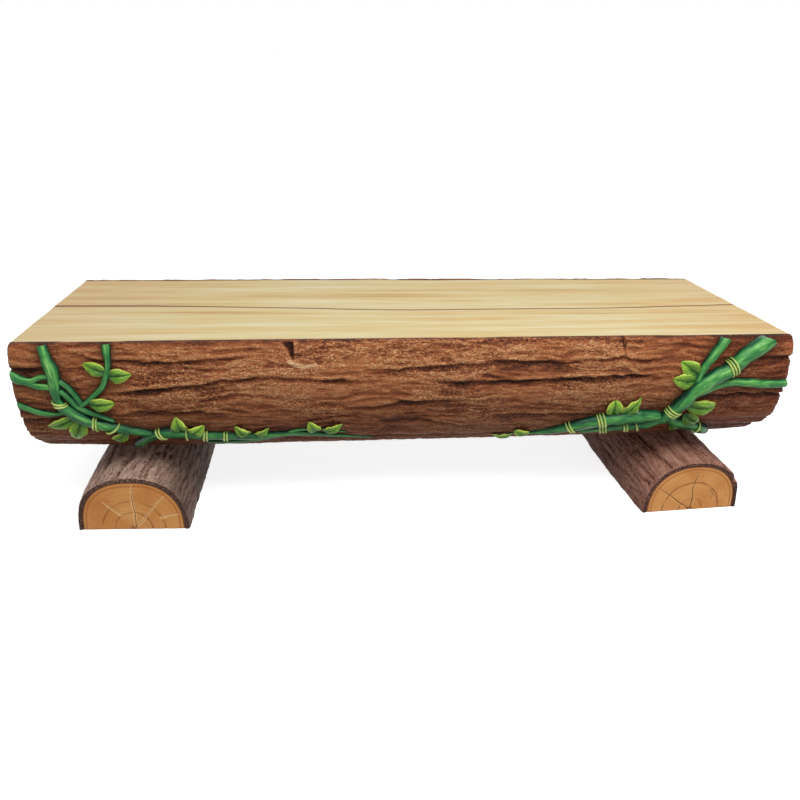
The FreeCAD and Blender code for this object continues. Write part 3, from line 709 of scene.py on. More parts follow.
def keep(piece, slot, *nodes):
    """Ride on the bench's one body and hide the solids it stands for. The slot is not used."""
    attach(piece, "root")
    if nodes:
        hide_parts(*nodes)
    print(piece.name, len(piece.data.polygons), "faces")
    return piece


# %% [markdown]
# ## Bark finish
# The bench's bark is paint over moulded relief: umber in the grooves, red-brown on the plates, and
# copper and tan dragged over what stands out. The four numbers on the mesh say where each coat goes.
# The coats get darker towards the belly, in part the bench's own paint and in part painted shade, and
# redder at the right end. The feet have a greyer set.


# %% Bark coats
def bark_finish(name, coats, grain_axis, shade_below, shade_below_coat, right_side, right_coat):
    """Coats are deep, dark, mid, light and brushed colours. Grain runs along one axis."""
    made, start = new_finish(name)
    place = object_place(start)
    long_scale, wrinkle_scale, crack_scale, grit_scale = [75] * 3, [130] * 3, [62] * 3, [330] * 3
    for scale, along in ((long_scale, 9), (wrinkle_scale, 80), (crack_scale, 14), (grit_scale, 150)):
        scale[grain_axis] = along
    patches = place.noise((4.5, 4.5, 4.5), 4)
    streaks = place.noise(long_scale, 5, 0.6)
    crests = (1 - ((place.noise(wrinkle_scale, 3, 0.6) - 0.5) * 11).size()).ease(0.1, 0.9)
    cracks = (1 - ((place.noise(crack_scale, 3, 0.55) - 0.5) * 5).size()).ease(0.55, 0.95)
    grit = place.noise(grit_scale, 3, 0.65)
    rough_area = place.noise((5, 9, 9), 2).ease(0.38, 0.60)
    depth, brush, bare, halo = (mark(start, word) for word in ("depth", "brush", "bare", "halo"))
    raised = brush.math("MAXIMUM", brush, -0.3)
    tone = 0.505 + raised * 0.14 + (depth - 0.80) * 0.80 + (streaks - 0.5) * 0.22 - cracks * 0.05
    tone = tone + (crests - 0.30) * (0.16 + rough_area * 0.30)
    tone = tone + (grit - 0.5) * 0.22 + (patches - 0.5) * 0.26
    deep, dark, mid, light, tan = coats
    colour = tone.ramp((0.05, deep), (0.98, tan), (0.27, dark), (0.50, mid), (0.74, light))
    x, _, z = axes_of(place)
    # painted shade: darker towards the bottom, in part the bench's own darker paint
    colour = (1 - z.ease(*shade_below)).mix(colour, shade_below_coat, "MULTIPLY")
    colour = x.ease(*right_side).mix(colour, right_coat, "MULTIPLY")
    # painted shade round the stems, under the ledges and on one side of the left foot, in part the
    # bench's own airbrushed dark
    colour = (halo * 0.85).mix(colour, (0.30, 0.27, 0.25), "MULTIPLY")
    colour = (bare.ease(0.25, 0.60) * 0.9).mix(colour, (0.80, 0.49, 0.25))
    rough = 0.56 + (grit - 0.5) * 0.25 + (1 - depth) * 0.18
    sockets = {"Base Color": colour, "Roughness": rough, "Specular IOR Level": 0.22}
    height = streaks * 0.5 + crests * 0.50 + grit * 0.35 - cracks * 0.35
    surface(start, sockets, height, 0.0045)
    return made


log_coats = (
    (0.034, 0.011, 0.006), (0.115, 0.030, 0.011), (0.32, 0.092, 0.031), (0.54, 0.190, 0.068),
    (0.76, 0.39, 0.175),
)
foot_coats = (
    (0.060, 0.031, 0.022), (0.260, 0.140, 0.100), (0.52, 0.315, 0.235), (0.68, 0.450, 0.350),
    (0.80, 0.58, 0.47),
)
log_bark = bark_finish(
    "log_bark", log_coats, grain_axis=0, shade_below=(0.12, 0.42), shade_below_coat=(0.32, 0.26, 0.23),
    right_side=(0.45, 0.84), right_coat=(0.78, 0.62, 0.58))
foot_bark = bark_finish(
    "foot_bark", foot_coats, grain_axis=1, shade_below=(-0.03, 0.09), shade_below_coat=(0.62, 0.52, 0.46),
    right_side=(-0.2, 0.2), right_coat=(0.82, 0.61, 0.56))
print("bark coats mixed")

# %% [markdown]
# ## The log's bark
# The bark is two walls, front and rear, that meet under the belly, each under the limit on faces.
# The rim is two more rows of points, from the rounded edge in to the boards.


# %% Front and rear bark
def log_wall(name, girths, columns, inner_columns, inner_rows, seed):
    """One half of the bark, and its relief. The first or the last of its girths is a rim."""
    columns_along = np.linspace(-half_length, half_length, columns)
    along, girth = np.meshgrid(columns_along, girths, indexing="ij")
    relief, marks = log_relief(along, girth, seed)
    end = half_length - np.abs(along)
    bite = (1.25 * (0.72 - marks["depth"])).clip(0, 1) * 0.012
    outer = bark_point(along - np.sign(along) * bite * np.exp(-end / 0.03), girth, relief)
    rim_is_first = girths[0] == 0
    edge = outer[:, 0] if rim_is_first else outer[:, -1]
    side = np.sign(edge[:, 1])
    lip, inner_edge = edge.copy(), edge.copy()
    inner_edge[:, 1] = side * (rim_half_depth - shell_inset)
    inner_edge[:, 2] = seat_height - 0.0006
    lip[:, 1] = (edge[:, 1] + inner_edge[:, 1]) / 2
    edge_relief = relief[:, 0 if rim_is_first else -1]
    lip[:, 2] = seat_height - 0.0003 + 0.3 * (edge_relief + 0.008).clip(-0.003, 0)
    rows = [inner_edge[:, None], lip[:, None], outer]
    outer = np.concatenate(rows if rim_is_first else rows[::-1], 1)
    pad = ((0, 0), (2, 0)) if rim_is_first else ((0, 0), (0, 2))
    marks = {word: np.pad(values, pad, mode="edge") for word, values in marks.items()}
    lip_rows = slice(0, 2) if rim_is_first else slice(-2, None)
    marks["depth"][:, lip_rows] *= 0.75
    marks["bare"][:, lip_rows] = 0
    inner_ends = (0.012, 1) if rim_is_first else (1, 1.988)
    inner_along, inner_girth = np.meshgrid(
        np.linspace(-half_length, half_length, inner_columns) * 0.999,
        np.linspace(*inner_ends, inner_rows), indexing="ij")
    inner = bark_point(inner_along, inner_girth, -shell_inset)
    piece = closed_wall(name, outer, inner, log_bark, marks, dict.fromkeys(marks, 0.3))
    return piece, relief


bark_front, front_relief = log_wall(
    "bark_front", np.linspace(0, 1, 167), columns=561, inner_columns=29, inner_rows=43, seed=11)
keep(bark_front, "log_bark", "log_shell")
bark_rear, _ = log_wall(
    "bark_rear", np.linspace(1, 2, 127), columns=441, inner_columns=23, inner_rows=33, seed=311)
keep(bark_rear, "log_bark", "log_shell")

# %% [markdown]
# ## Feet
# Each foot is a half log lying front to back, with full shoulders. Its bark is greyer, with grooves
# along it and short slits, and it flares a little under the log. The top is pressed to the log's
# belly, so its points stop just inside the log's bark. The front ends run slightly askew.

# %% Foot shape
foot_radius = 0.125
foot_inner_radius = 0.1138
foot_axis = 0.005
foot_half_length = 0.3262
shoulder_power = 0.85
saddle_lap = 0.008
foot_sizes = {"left": 1.04, "right": 1.035}
foot_rises = {"left": 1.075, "right": 1.05}
foot_skews = {"left": 0.0436, "right": -0.0548}
foot_flares = {"left": (0.012, 0.0), "right": (0.007, 0.012)}
foot_groove_shares = np.array((0.10, 0.21, 0.33, 0.45, 0.56, 0.68, 0.79, 0.91))
foot_places = {
    side: (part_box(f"foot_core_{side}")[0].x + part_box(f"foot_core_{side}")[1].x) / 2
    for side in ("left", "right")
}


def saddle_height(y):
    """How high a foot may reach at each place along it."""
    share = (np.abs(y) / bulge_half_depth).clip(0, 1)
    round_down = (1 - share**section_power) ** (1 / section_power)
    return bulge_height - (bulge_height - belly_height) * round_down + saddle_lap


def skewed(points, side):
    """The front end is not quite square to the foot: it runs out towards one side."""
    reach = foot_radius * foot_sizes[side]
    skew = foot_skews[side]
    out = skew * (points[..., 0] - foot_places[side]) + abs(skew) * reach
    points[..., 1] *= 1 + np.where(points[..., 1] < 0, out.clip(0) / foot_half_length, 0)
    return points


def foot_round(angle):
    """Across and up on a half round of radius 1 with full shoulders."""
    parts = (np.cos(angle), np.sin(angle))
    return [np.sign(part) * np.abs(part) ** shoulder_power for part in parts]


def foot_points(y, share, radius, side):
    """Points on a foot, by a place along it, a share of the way over it and a radius."""
    dip = math.asin(foot_axis / foot_radius)
    angle = math.pi + dip - share * (math.pi + 2 * dip)
    across, up = foot_round(angle)
    height = np.minimum(foot_axis + foot_rises[side] * radius * up, saddle_height(y)).clip(0)
    across = foot_sizes[side] * radius * across
    flare = np.where(across < 0, *foot_flares[side]) * (1 - (y / foot_half_length) ** 2)
    across = across + flare * np.cos(angle)
    return skewed(np.stack([foot_places[side] + across, y, height], -1), side)


print("feet at", {side: round(place, 3) for side, place in foot_places.items()})

# %% [markdown]
# The foot's bark is a closed wall like the log's, with the same fibres, finer grooves and short slits.
# The right foot's front end has a notch with a swollen edge. The left foot is shaded on its right.


# %% Foot bark
def foot_wall(side, seed, notch_share, shade):
    """A foot's bark. The notch in its front end and the painted shade are given for each foot."""
    along_foot = np.linspace(-foot_half_length, foot_half_length, 217)
    y, share = np.meshgrid(along_foot, np.linspace(0, 1, 145), indexing="ij")
    girth = math.pi * foot_radius
    run = share * girth
    relief = -0.0010 + 0.8 * fibres(y, run, seed)
    lines = foot_groove_shares * girth
    relief += rule_grooves(y, run, lines, depth=0.0040, width=0.0042, seed=seed + 60)
    slits = noise(y / 0.055, run / 0.0075, seed + 80) - 0.42
    relief -= 0.009 * slits.clip(0, 0.5)
    end = foot_half_length - np.abs(y)
    relief += np.exp(-((end / 0.012) ** 2)) * (blurred(relief, 4) - relief)
    notch = np.hypot((share - notch_share) * girth, (y + foot_half_length) * 0.30)
    bulge = np.hypot((share - notch_share) * girth * 0.35, (y + foot_half_length) * 0.30)
    relief += 0.0045 * bell(bulge, 0.012) - 0.0120 * bell(notch, 0.007)
    relief = relief.clip(-0.0080, 0.0042)
    # painted shade on a foot's right side, where its shade is 1
    marks = {
        "depth": (1 + relief / 0.011).clip(0, 1), "brush": dry_brush(relief, 3),
        "bare": np.zeros_like(relief), "halo": shade * ((share - 0.60) / 0.16).clip(0, 1),
    }
    marks["depth"][[0, -1]] = 0.35
    marks["brush"][[0, -1]] = -0.5
    relief = relief - 0.0020 * np.exp(-((end / 0.004) ** 2))
    outer = foot_points(y, share, foot_radius + relief, side)
    inner_along = np.linspace(-foot_half_length, foot_half_length, 28) * 0.999
    inner_y, inner_share = np.meshgrid(inner_along, np.linspace(0, 1, 37), indexing="ij")
    inner = foot_points(inner_y, inner_share, foot_inner_radius, side)
    inner[..., 2] = np.minimum(inner[..., 2], saddle_height(inner_y) - 0.001)
    piece = closed_wall(f"foot_shell_{side}", outer, inner, foot_bark, marks, {"depth": 0.3})
    return keep(piece, "foot_bark", f"foot_bark_{side}")


off_the_bark = 2.0
foot_wall("left", seed=501, notch_share=off_the_bark, shade=1.0)
foot_wall("right", seed=601, notch_share=0.81, shade=0.0)

# %% [markdown]
# ## End grain
# The sawn ends are orange-tan with a rust ring near a dark rim, a pith at the flat side, wandering
# drying cracks and a few ring lines. The left foot's cracks have pale edges. Painted rings alone
# would look flat, so the mesh carries four numbers for them and the cracks are pressed in as well.


# %% End grain finish
def end_grain_finish(name):
    made, start = new_finish(name)
    place = object_place(start)
    rings, crack, rim, arc = (mark(start, word) for word in ("rings", "crack", "rim", "arc"))
    cloud = place.noise((9, 9, 9), 3)
    fine = place.noise((240, 240, 240), 3, 0.6)
    wobble = rings * 120 + (cloud - 0.5) * 6
    year = wobble.math("SINE", wobble * math.tau) * 0.5 + 0.5
    tone = 0.56 + (cloud - 0.5) * 0.9 + (fine - 0.5) * 0.25 + (year - 0.5) * 0.035
    colour = tone.ramp(
        (0.15, (0.42, 0.138, 0.030)), (0.85, (0.82, 0.43, 0.145)), (0.5, (0.62, 0.255, 0.064)))
    colour = ((rim + (cloud - 0.5) * 0.06).ease(0.955, 0.995)).mix(colour, (0.20, 0.058, 0.016))
    from_rust = (rim - 0.925 + (cloud - 0.5) * 0.08).size()
    colour = ((1 - from_rust.ease(0.0, 0.034)) * 0.7).mix(colour, (0.38, 0.108, 0.020))
    colour = (arc.ease(0.05, 0.8) * 0.75).mix(colour, (0.30, 0.085, 0.018))
    pale = 0.75 - axes_of(place)[0].ease(-0.2, 0.2) * 0.6
    pale = (crack.ease(0.004, 0.06) - crack.ease(0.2, 0.45)) * pale
    colour = pale.mix(colour, (0.86, 0.58, 0.27))
    colour = ((1 - rings.ease(0.002, 0.014)) * 0.85).mix(colour, (0.23, 0.045, 0.012))
    colour = (crack.ease(0.25, 0.75) * 0.85).mix(colour, (0.150, 0.048, 0.013))
    rough = 0.50 + (fine - 0.5) * 0.3
    sockets = {"Base Color": colour, "Roughness": rough, "Specular IOR Level": 0.3}
    surface(start, sockets, fine * 0.5 + year * 0.3, 0.0008)
    return made


end_grain = end_grain_finish("end_grain")
print("end grain:", len(end_grain.node_tree.nodes), "nodes")

# %% [markdown]
# An end face is a half disc of points, from the pith out to the bark. Cracks and ring lines are found
# by distance, as on the bark. A flat face behind it and a strip round its border close the mesh.


# %% End faces
def end_face(name, boundary, centre, cracks, ring_lines, place, seed, thickness, rows=96):
    """A half disc from a centre on its flat side. Place maps across, up and sunk depth to the bench."""
    boundary, centre = np.array(boundary, float), np.array(centre, float)
    share = np.linspace(0, 1, rows)[:, None, None]
    flat = centre + share * (boundary - centre)
    across, up = flat[..., 0], flat[..., 1]
    radius = np.hypot(across - centre[0], up - centre[1])
    shaken = across + 0.0014 * octaves(up / 0.012, across / 0.05, seed, 2)
    lifted = up + 0.0014 * octaves(across / 0.012, up / 0.05, seed + 5, 2)
    crack = np.zeros_like(across)
    for path, width, strength in cracks:
        gap, part = path_distance(shaken, lifted, path)
        crack = np.maximum(crack, strength * bell(gap, width / 1000 * (1.2 - 0.7 * part), 1.6))
    ring = np.zeros_like(across)
    for size, strength in ring_lines:
        wander = radius + 0.0016 * octaves(across / 0.03, up / 0.03, seed + 9, 2)
        broken = (0.85 + 0.9 * noise(across / 0.03, up / 0.03 + size * 90, seed + 12)).clip(0, 1)
        ring = np.maximum(ring, strength * broken * bell(wander - size, 0.0024))
    edge = np.broadcast_to(share[..., 0], across.shape)
    sunk = 0.0022 * crack + 0.0009 * ring + 0.0012 * bell(1 - edge, 0.035)
    sunk = sunk + 0.00035 * octaves(across / 0.02, up / 0.02, seed + 15, 3)
    front = place(across, up, sunk.clip(0))
    back = place(across, up, np.full_like(across, thickness))
    fine = np.arange(across.size).reshape(across.shape)
    loop = [*fine[1:, 0][::-1], fine[0, 0], *fine[1:, -1], *fine[-1, 1:-1][::-1]]
    behind = {point: fine.size + number for number, point in enumerate(loop)}
    faces = [[fine[0, 0], int(b), int(a)] for a, b in zip(fine[1], fine[1, 1:])]
    faces += grid_faces(fine[1:].T)
    smooth_count = len(faces)
    faces += [[int(b), int(a), behind[a], behind[b]] for a, b in zip(loop, loop[1:] + loop[:1])]
    faces.append([behind[point] for point in loop[::-1]])
    points = np.concatenate([front.reshape(-1, 3), back.reshape(-1, 3)[loop]])
    used = np.unique([point for face in faces for point in face])
    number_of = {int(point): number for number, point in enumerate(used)}
    faces = [[number_of[int(point)] for point in face] for face in faces]
    marks = {"rings": radius, "crack": crack, "rim": edge, "arc": ring}
    marks = {
        word: np.r_[values.ravel(), values.ravel()[loop]][used] for word, values in marks.items()
    }
    return make_piece(name, points[used], faces, end_grain, marks, smooth_count)


print("end faces ready")

# %% [markdown]
# The drying cracks of the two front ends are drawn as on the bench, across and up from the middle
# of each foot in millimetres, with a half width and a strength. Ring lines are radii in metres. The
# rear ends can't be seen in the view, so they use the other foot's lines, mirrored.

# %% Foot ends
foot_cracks = {
    "left": (
        (((4.6, 4.9), (5.5, 40), (3, 75), (5, 100), (6, 112)), 1.6, 0.75),
        (((4.6, 4.9), (22, 24), (44, 50), (60, 70), (73, 83)), 1.6, 0.50),
        (((-26, 37), (-44, 53), (-62, 69)), 1.5, 0.50),
        (((65, 30), (82, 35), (101, 38)), 1.5, 0.45),
    ),
    "right": (
        (((0.8, 1), (2, 30), (-2, 60), (4, 90), (-3, 112)), 1.8, 0.9),
        (((-4, 4), (-34, 24), (-66, 48), (-92, 66)), 1.5, 0.9),
        (((44, 52), (54, 40), (68, 28)), 1.4, 0.8),
        (((54, 40), (52, 22)), 1.2, 0.8),
    ),
}
foot_rings = {
    "left": ((0.042, 1.0), (0.070, 0.8), (0.100, 0.25)),
    "right": ((0.030, 1.0), (0.074, 1.0), (0.100, 0.25)),
}
end_plane = 0.3256
sole_height = 0.0006
end_thickness = 0.0030
end_radius = foot_inner_radius - 0.0004
end_angles = np.linspace(math.pi, 0, 281)
end_across, end_up = foot_round(end_angles)
foot_outline = np.column_stack([end_radius * end_across, foot_axis + end_radius * end_up])
foot_outline = np.vstack([[-end_radius, sole_height], foot_outline, [end_radius, sole_height]])
for side, other in (("left", "right"), ("right", "left")):
    for face_name, facing, source in (("front", -1, side), ("rear", 1, other)):
        paths = [(np.array(path) * 0.001, *size) for path, *size in foot_cracks[source]]

        def on_foot(across, up, sunk, facing=facing, side=side):
            spread, up = -facing * across * foot_sizes[side], up * foot_rises[side]
            points = np.stack([foot_places[side] + spread, facing * (end_plane - sunk), up], -1)
            return skewed(points, side)

        piece = end_face(
            f"foot_end_{side}_{face_name}", foot_outline, (0.0, sole_height), paths,
            foot_rings[source], on_foot, seed=700 + len(side) * 10 + facing, thickness=end_thickness)
        keep(piece, "end_grain")

# %% [markdown]
# ## The log's own ends
# Inside the bark, each end of the log is a panel with the same end grain, its pith at the top. Its
# outline is the log's section, set in by the thickness of the bark. The view hides both ends, so
# their cracks and rings are by analogy with the feet.

# %% Log ends
panel_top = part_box("end_panel_left")[1].z
panel_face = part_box("end_panel_right")[1].x
panel_thickness = panel_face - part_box("end_panel_right")[0].x
panel_line = bark_point(0.0, np.linspace(0, 2, 301), -shell_inset - 0.0004)[:, 1:]
panel_line = panel_line[panel_line[:, 1] < panel_top]
panel_outline = np.column_stack([panel_line[:, 0], panel_top - panel_line[:, 1]])
panel_outline[[0, -1], 1] = 0
panel_cracks = (
    (((0, 4), (8, 60), (-6, 120), (10, 190), (4, 240)), 2.6, 1.0),
    (((0, 4), (60, 44), (120, 84), (176, 132)), 2.2, 0.9),
    (((-24, 18), (-84, 76), (-128, 140)), 2.2, 0.9),
    (((60, 44), (74, 96), (92, 140)), 1.8, 0.8),
)
panel_rings = ((0.05, 0.8), (0.09, 0.6), (0.13, 1.0), (0.18, 0.7), (0.225, 0.9), (0.26, 0.5))
for side, facing in (("left", -1), ("right", 1)):

    def on_log(across, up, sunk, facing=facing):
        return np.stack([facing * (panel_face - sunk), -facing * across, panel_top - up], -1)

    paths = [(np.array(path) * (facing / 1000, 0.001), *size) for path, *size in panel_cracks]
    piece = end_face(
        f"log_end_{side}", panel_outline, (0.0, 0.0), paths, panel_rings, on_log,
        seed=820 + facing, thickness=panel_thickness, rows=90)
    keep(piece, "end_grain", f"end_panel_{side}")

# %% [markdown]
# ## Seat boards
# The seat is two pale boards with one thin seam that wanders along the middle. Each board is a
# closed mesh with softened edges and a slight hand-finished waviness. Long ochre streaks run along
# it, and it turns warmer near the ends.


# %% Board finish
def board_finish(name):
    made, start = new_finish(name)
    place = object_place(start)
    seam, edge = (mark(start, word) for word in ("seam", "edge"))
    long_streak = place.noise((1.5, 26, 8), 4, 0.55)
    thin_streak = place.noise((2.6, 120, 20), 4, 0.6)
    cloud = place.noise((2.2, 5.0, 5.0), 3)
    fleck = place.noise((26, 130, 60), 2, 0.5)
    tone = 0.5 + (long_streak - 0.5) * 1.5 + (thin_streak - 0.5) * 0.8 + (cloud - 0.5) * 0.5
    colour = tone.ramp(
        (0.14, (0.47, 0.265, 0.075)), (0.86, (0.73, 0.630, 0.385)), (0.38, (0.625, 0.435, 0.150)),
        (0.60, (0.655, 0.530, 0.262)))
    x = axes_of(place)[0]
    warm = x.size().ease(0.50, 0.92) * 0.75
    colour = warm.mix(colour, (1.0, 0.86, 0.74), "MULTIPLY")
    colour = (fleck.ease(0.70, 0.80) * 0.5).mix(colour, (0.40, 0.24, 0.10))
    colour = ((1 - edge.ease(0.002, 0.010)) * 0.55).mix(colour, (0.34, 0.19, 0.095))
    breadth = 1 - x.ease(-0.75, -0.35) * 0.45
    colour = (1 - (seam / breadth).ease(0.0030, 0.0120)).mix(colour, (0.25, 0.115, 0.048))
    rough = 0.42 + (long_streak - 0.5) * 0.3
    sockets = {"Base Color": colour, "Roughness": rough, "Specular IOR Level": 0.3}
    surface(start, sockets, thin_streak, 0.0006)
    return made


seat_board = board_finish("seat_board")
print("seat board:", len(seat_board.node_tree.nodes), "nodes")

# %% [markdown]
# The seam's line is drawn through nine points. Both boards share it, so the gap is even all along.
# Rows of points stand closer near the edges, where they drop a little to round them. The flat
# underside keeps only some of the points.

# %% Boards
board_low, board_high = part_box("seat_board_front")
board_edge = -board_low.y
seam_line = smooth_path(
    ((-0.93, 0.009), (-0.885, 0.008), (-0.613, 0.002), (-0.283, -0.023), (-0.027, -0.043),
     (0.157, -0.042), (0.508, -0.041), (0.903, -0.011), (0.95, -0.006)), 12)
across_share = np.r_[0, 0.0025, 0.008, np.linspace(0.02, 0.98, 43), 0.992, 0.9975, 1]
board_x = np.r_[-0.9, -0.8993, -0.8975, np.linspace(-0.893, 0.893, 355), 0.8975, 0.8993, 0.9]
board_x = board_x * board_high.x / 0.9
edge_drop, end_drop = np.zeros(len(across_share)), np.zeros(len(board_x))
edge_drop[[0, 1, -2, -1]] = end_drop[[0, 1, -2, -1]] = 0.0022, 0.0007, 0.0007, 0.0022
seam_half_gap = 0.0007
long_step, cross_step = 30, 12


def board(name, facing, node):
    """One seat board, in front of the seam for a facing of -1 and behind it for 1."""
    seam_y = np.interp(board_x, seam_line[:, 0], seam_line[:, 1])
    seam_y = seam_y + 0.0012 * octaves(board_x / 0.07, board_x * 0, 901, 3) + facing * seam_half_gap
    outer_y = np.full_like(board_x, facing * board_edge)
    rear_y, front_y = (seam_y, outer_y) if facing < 0 else (outer_y, seam_y)
    y = rear_y[:, None] + across_share * (front_y - rear_y)[:, None]
    x = np.broadcast_to(board_x[:, None], y.shape)
    waves = 0.0007 * octaves(x / 0.45, y / 0.09, 911, 2)
    waves = waves + 0.00035 * octaves(x / 0.22, y / 0.012, 921, 2)
    z = seat_height + np.minimum(waves - 0.0008, 0) - np.maximum(edge_drop, end_drop[:, None])
    top = np.stack([x, y, z], -1)
    bottom = top[::long_step, ::cross_step].copy()
    bottom[..., 2] = board_low.z
    marks = {"seam": np.abs(y - seam_y[:, None]), "edge": np.abs(y - outer_y[:, None])}
    piece = closed_wall(name, top, bottom, seat_board, marks, dict.fromkeys(marks, 0.05))
    return keep(piece, "seat_board", node)


board("seat_plank_front", -1, "seat_board_front")
board("seat_plank_rear", 1, "seat_board_rear")

# %% [markdown]
# ## Node trees
# Stems, lashings and leaves repeat one rule with other numbers, which suits Geometry Nodes. A tree
# has named inputs for its sizes, stores the numbers that the paint needs, and ends in a plain mesh
# with its finish. Each piece is run through its tree once and kept as that mesh.


# %% Tree helpers
def new_tree(name, labels):
    """A tree with labelled inputs, a wire to start from and a wire for each input."""
    tree = bpy.data.node_groups.new(name, "GeometryNodeTree")
    tree.interface.new_socket("Geometry", in_out="INPUT", socket_type="NodeSocketGeometry")
    for label, kind in labels.items():
        tree.interface.new_socket(label, in_out="INPUT", socket_type=f"NodeSocket{kind}")
    tree.interface.new_socket("Geometry", in_out="OUTPUT", socket_type="NodeSocketGeometry")
    given = tree.nodes.new("NodeGroupInput").outputs
    return tree, Wire(tree), {socket.name: Wire(tree, socket) for socket in given if socket.name}


def store(start, geometry, name, value, kind="FLOAT"):
    """Keeps a value at each point, for the paint to read."""
    inputs = {0: geometry, 2: name, 3: value}
    return start.node("GeometryNodeStoreNamedAttribute", inputs, data_type=kind, domain="POINT")


def dress(start, geometry, finish):
    """The end of a tree: smooth shading, plain geometry and the finish."""
    smooth = start.node("GeometryNodeSetShadeSmooth", {0: geometry})
    whole = start.node("GeometryNodeRealizeInstances", {0: smooth})
    whole = start.node("GeometryNodeSetMaterial", {0: whole, 2: finish})
    start.node("NodeGroupOutput", {0: whole})


def grown(name, tree, points, edges, marks, settings):
    """Runs a node tree on a mesh of points and returns the piece it makes."""
    mesh = bpy.data.meshes.new(f"{name}_path")
    mesh.from_pydata(np.asarray(points).tolist(), edges, [])
    for word, values in marks.items():
        values = np.asarray(values, np.float32)
        kind, field = ("FLOAT", "value") if values.ndim == 1 else ("FLOAT_VECTOR", "vector")
        mesh.attributes.new(word, kind, "POINT").data.foreach_set(field, values.ravel())
    piece = bpy.data.objects.new(name, mesh)
    scene.collection.objects.link(piece)
    modifier = piece.modifiers.new("grow", "NODES")
    modifier.node_group = tree
    for item in tree.interface.items_tree:
        if item.in_out == "INPUT" and item.name in settings:
            modifier[item.identifier] = settings[item.name]
    graph = bpy.context.evaluated_depsgraph_get()
    made = bpy.data.meshes.new_from_object(piece.evaluated_get(graph))
    piece.modifiers.clear()
    piece.data = made
    return piece


print("tree helpers ready")

# %% [markdown]
# ## Growing tubes
# A line of points with a thickness at each becomes a curve, a ring is swept along it, and noise makes
# it knobbly. The cut tops stop level with the seat, and side cuts level with the log's ends.

# %% Tube nodes
tube_labels = {
    "Sides": "Int", "Knots": "Float", "Knot Scale": "Float", "Seed": "Float", "Seat": "Float",
    "Reach": "Float", "Finish": "Material",
}
tube_tree, start, given = new_tree("tube_along_path", tube_labels)
curve = start.node("GeometryNodeMeshToCurve", {0: given["Geometry"]})
curve = store(start, curve, "run", start.node("GeometryNodeSplineParameter", out="Length"))
ring = start.node("GeometryNodeCurvePrimitiveCircle", {0: given["Sides"], 4: 1.0}, mode="RADIUS")
ring = store(start, ring, "ring", start.node("GeometryNodeInputPosition"), "FLOAT_VECTOR")
thick = start.node("GeometryNodeInputNamedAttribute", {0: "thick"}, data_type="FLOAT")
tube = start.node("GeometryNodeCurveToMesh", {0: curve, 1: ring, 2: thick, 3: True})
place = start.node("GeometryNodeInputPosition")
normal = start.node("GeometryNodeInputNormal")
offset = vector_of(given["Seed"], 0.0, 0.0)
shifted = start.node("ShaderNodeVectorMath", {0: place, 1: offset}, operation="ADD")
knot_inputs = {"Vector": shifted, "Scale": given["Knot Scale"], "Detail": 2.0}
push = (start.node("ShaderNodeTexNoise", knot_inputs) - 0.5) * given["Knots"] * thick
push = start.node("ShaderNodeVectorMath", {0: normal, 3: push}, operation="SCALE")
tube = start.node("GeometryNodeSetPosition", {0: tube, 3: push})
outward = start.node("GeometryNodeInputNamedAttribute", {0: "outward"}, data_type="FLOAT_VECTOR")
crown = start.node(
    "ShaderNodeVectorMath", {0: normal, 1: outward}, out="Value", operation="DOT_PRODUCT")
tube = store(start, store(start, tube, "crown", crown), "sky", axes_of(normal)[2])
x, y, z = axes_of(place)
reach = given["Reach"]
held_x = x.math("MAXIMUM", x.math("MINIMUM", x, reach), 0 - reach)
held = vector_of(held_x, y, z.math("MINIMUM", z, given["Seat"]))
tube = start.node("GeometryNodeSetPosition", {0: tube, 2: held})
dress(start, tube, given["Finish"])
print("tube tree:", len(tube_tree.nodes), "nodes")

# %% [markdown]
# ## Creeper finish
# The creepers are glossy painted green: teal in the crevices against the bark, in part the stem's own
# paint and in part painted shade, mid green on the sides, and a painted highlight in light green along
# the crown and the upper side. Low stems get painted shade. The paint's streaks follow the stem, so
# they use the run along it and the ring round it, not the place in space.


# %% Stem finish
def stem_finish(name):
    made, start = new_finish(name)
    run, crown, sky = (mark(start, word) for word in ("run", "crown", "sky"))
    ring = start.node("ShaderNodeAttribute", out=1, attribute_name="ring")
    ring_x, ring_y, _ = axes_of(ring)
    track = vector_of(run * 16, ring_x * 1.9, ring_y * 1.9)
    streak = track.noise((1, 1, 1), 4, 0.6)
    fine = vector_of(run * 60, ring_x * 7, ring_y * 7).noise((1, 1, 1), 3)
    patch = object_place(start).noise((24, 24, 24), 3)
    # crown and sky paint the light: painted shade against the bark, a painted highlight on the crown
    # and on top
    tone = crown.ease(0.05, 0.9) * 0.47 + sky * 0.20 + (streak - 0.5) * 1.20
    tone = tone + (fine - 0.5) * 0.40 + (patch - 0.5) * 0.55
    # the top stop is a near-white painted highlight
    colour = tone.ramp(
        (0.02, (0.003, 0.024, 0.014)), (0.93, (0.58, 0.90, 0.36)), (0.22, (0.010, 0.085, 0.034)),
        (0.44, (0.036, 0.225, 0.052)), (0.67, (0.150, 0.45, 0.095)))
    # painted shade on the low stems, under the log
    height = axes_of(object_place(start))[2]
    colour = ((1 - height.ease(0.14, 0.30)) * 0.45).mix(colour, (0.30, 0.42, 0.34), "MULTIPLY")
    rough = 0.30 + (fine - 0.5) * 0.25
    sockets = {"Base Color": colour, "Roughness": rough, "Specular IOR Level": 0.22}
    surface(start, sockets, streak + fine * 0.4, 0.0012)
    return made


creeper_stem = stem_finish("creeper_stem")
print("stem paint:", len(creeper_stem.node_tree.nodes), "nodes")

# %% [markdown]
# A stem's centre lies a quarter of its radius over the bark, so more than half of it shows. A free
# end is rounded off with a few more points of falling thickness. An end at the rim or at the log's
# end runs on a little, and the tube tree cuts it level.

# %% Stem lines and ends
stem_lift_share = 0.25


def stem_course(name):
    """Centres, radii and outward normals along a stem."""
    line = stem_lines[name]
    normals = bark_normal(line[:, 1])
    centres = bark_point(line[:, 0], line[:, 1], stem_lift_share * line[:, 2])
    return centres, line[:, 2], normals


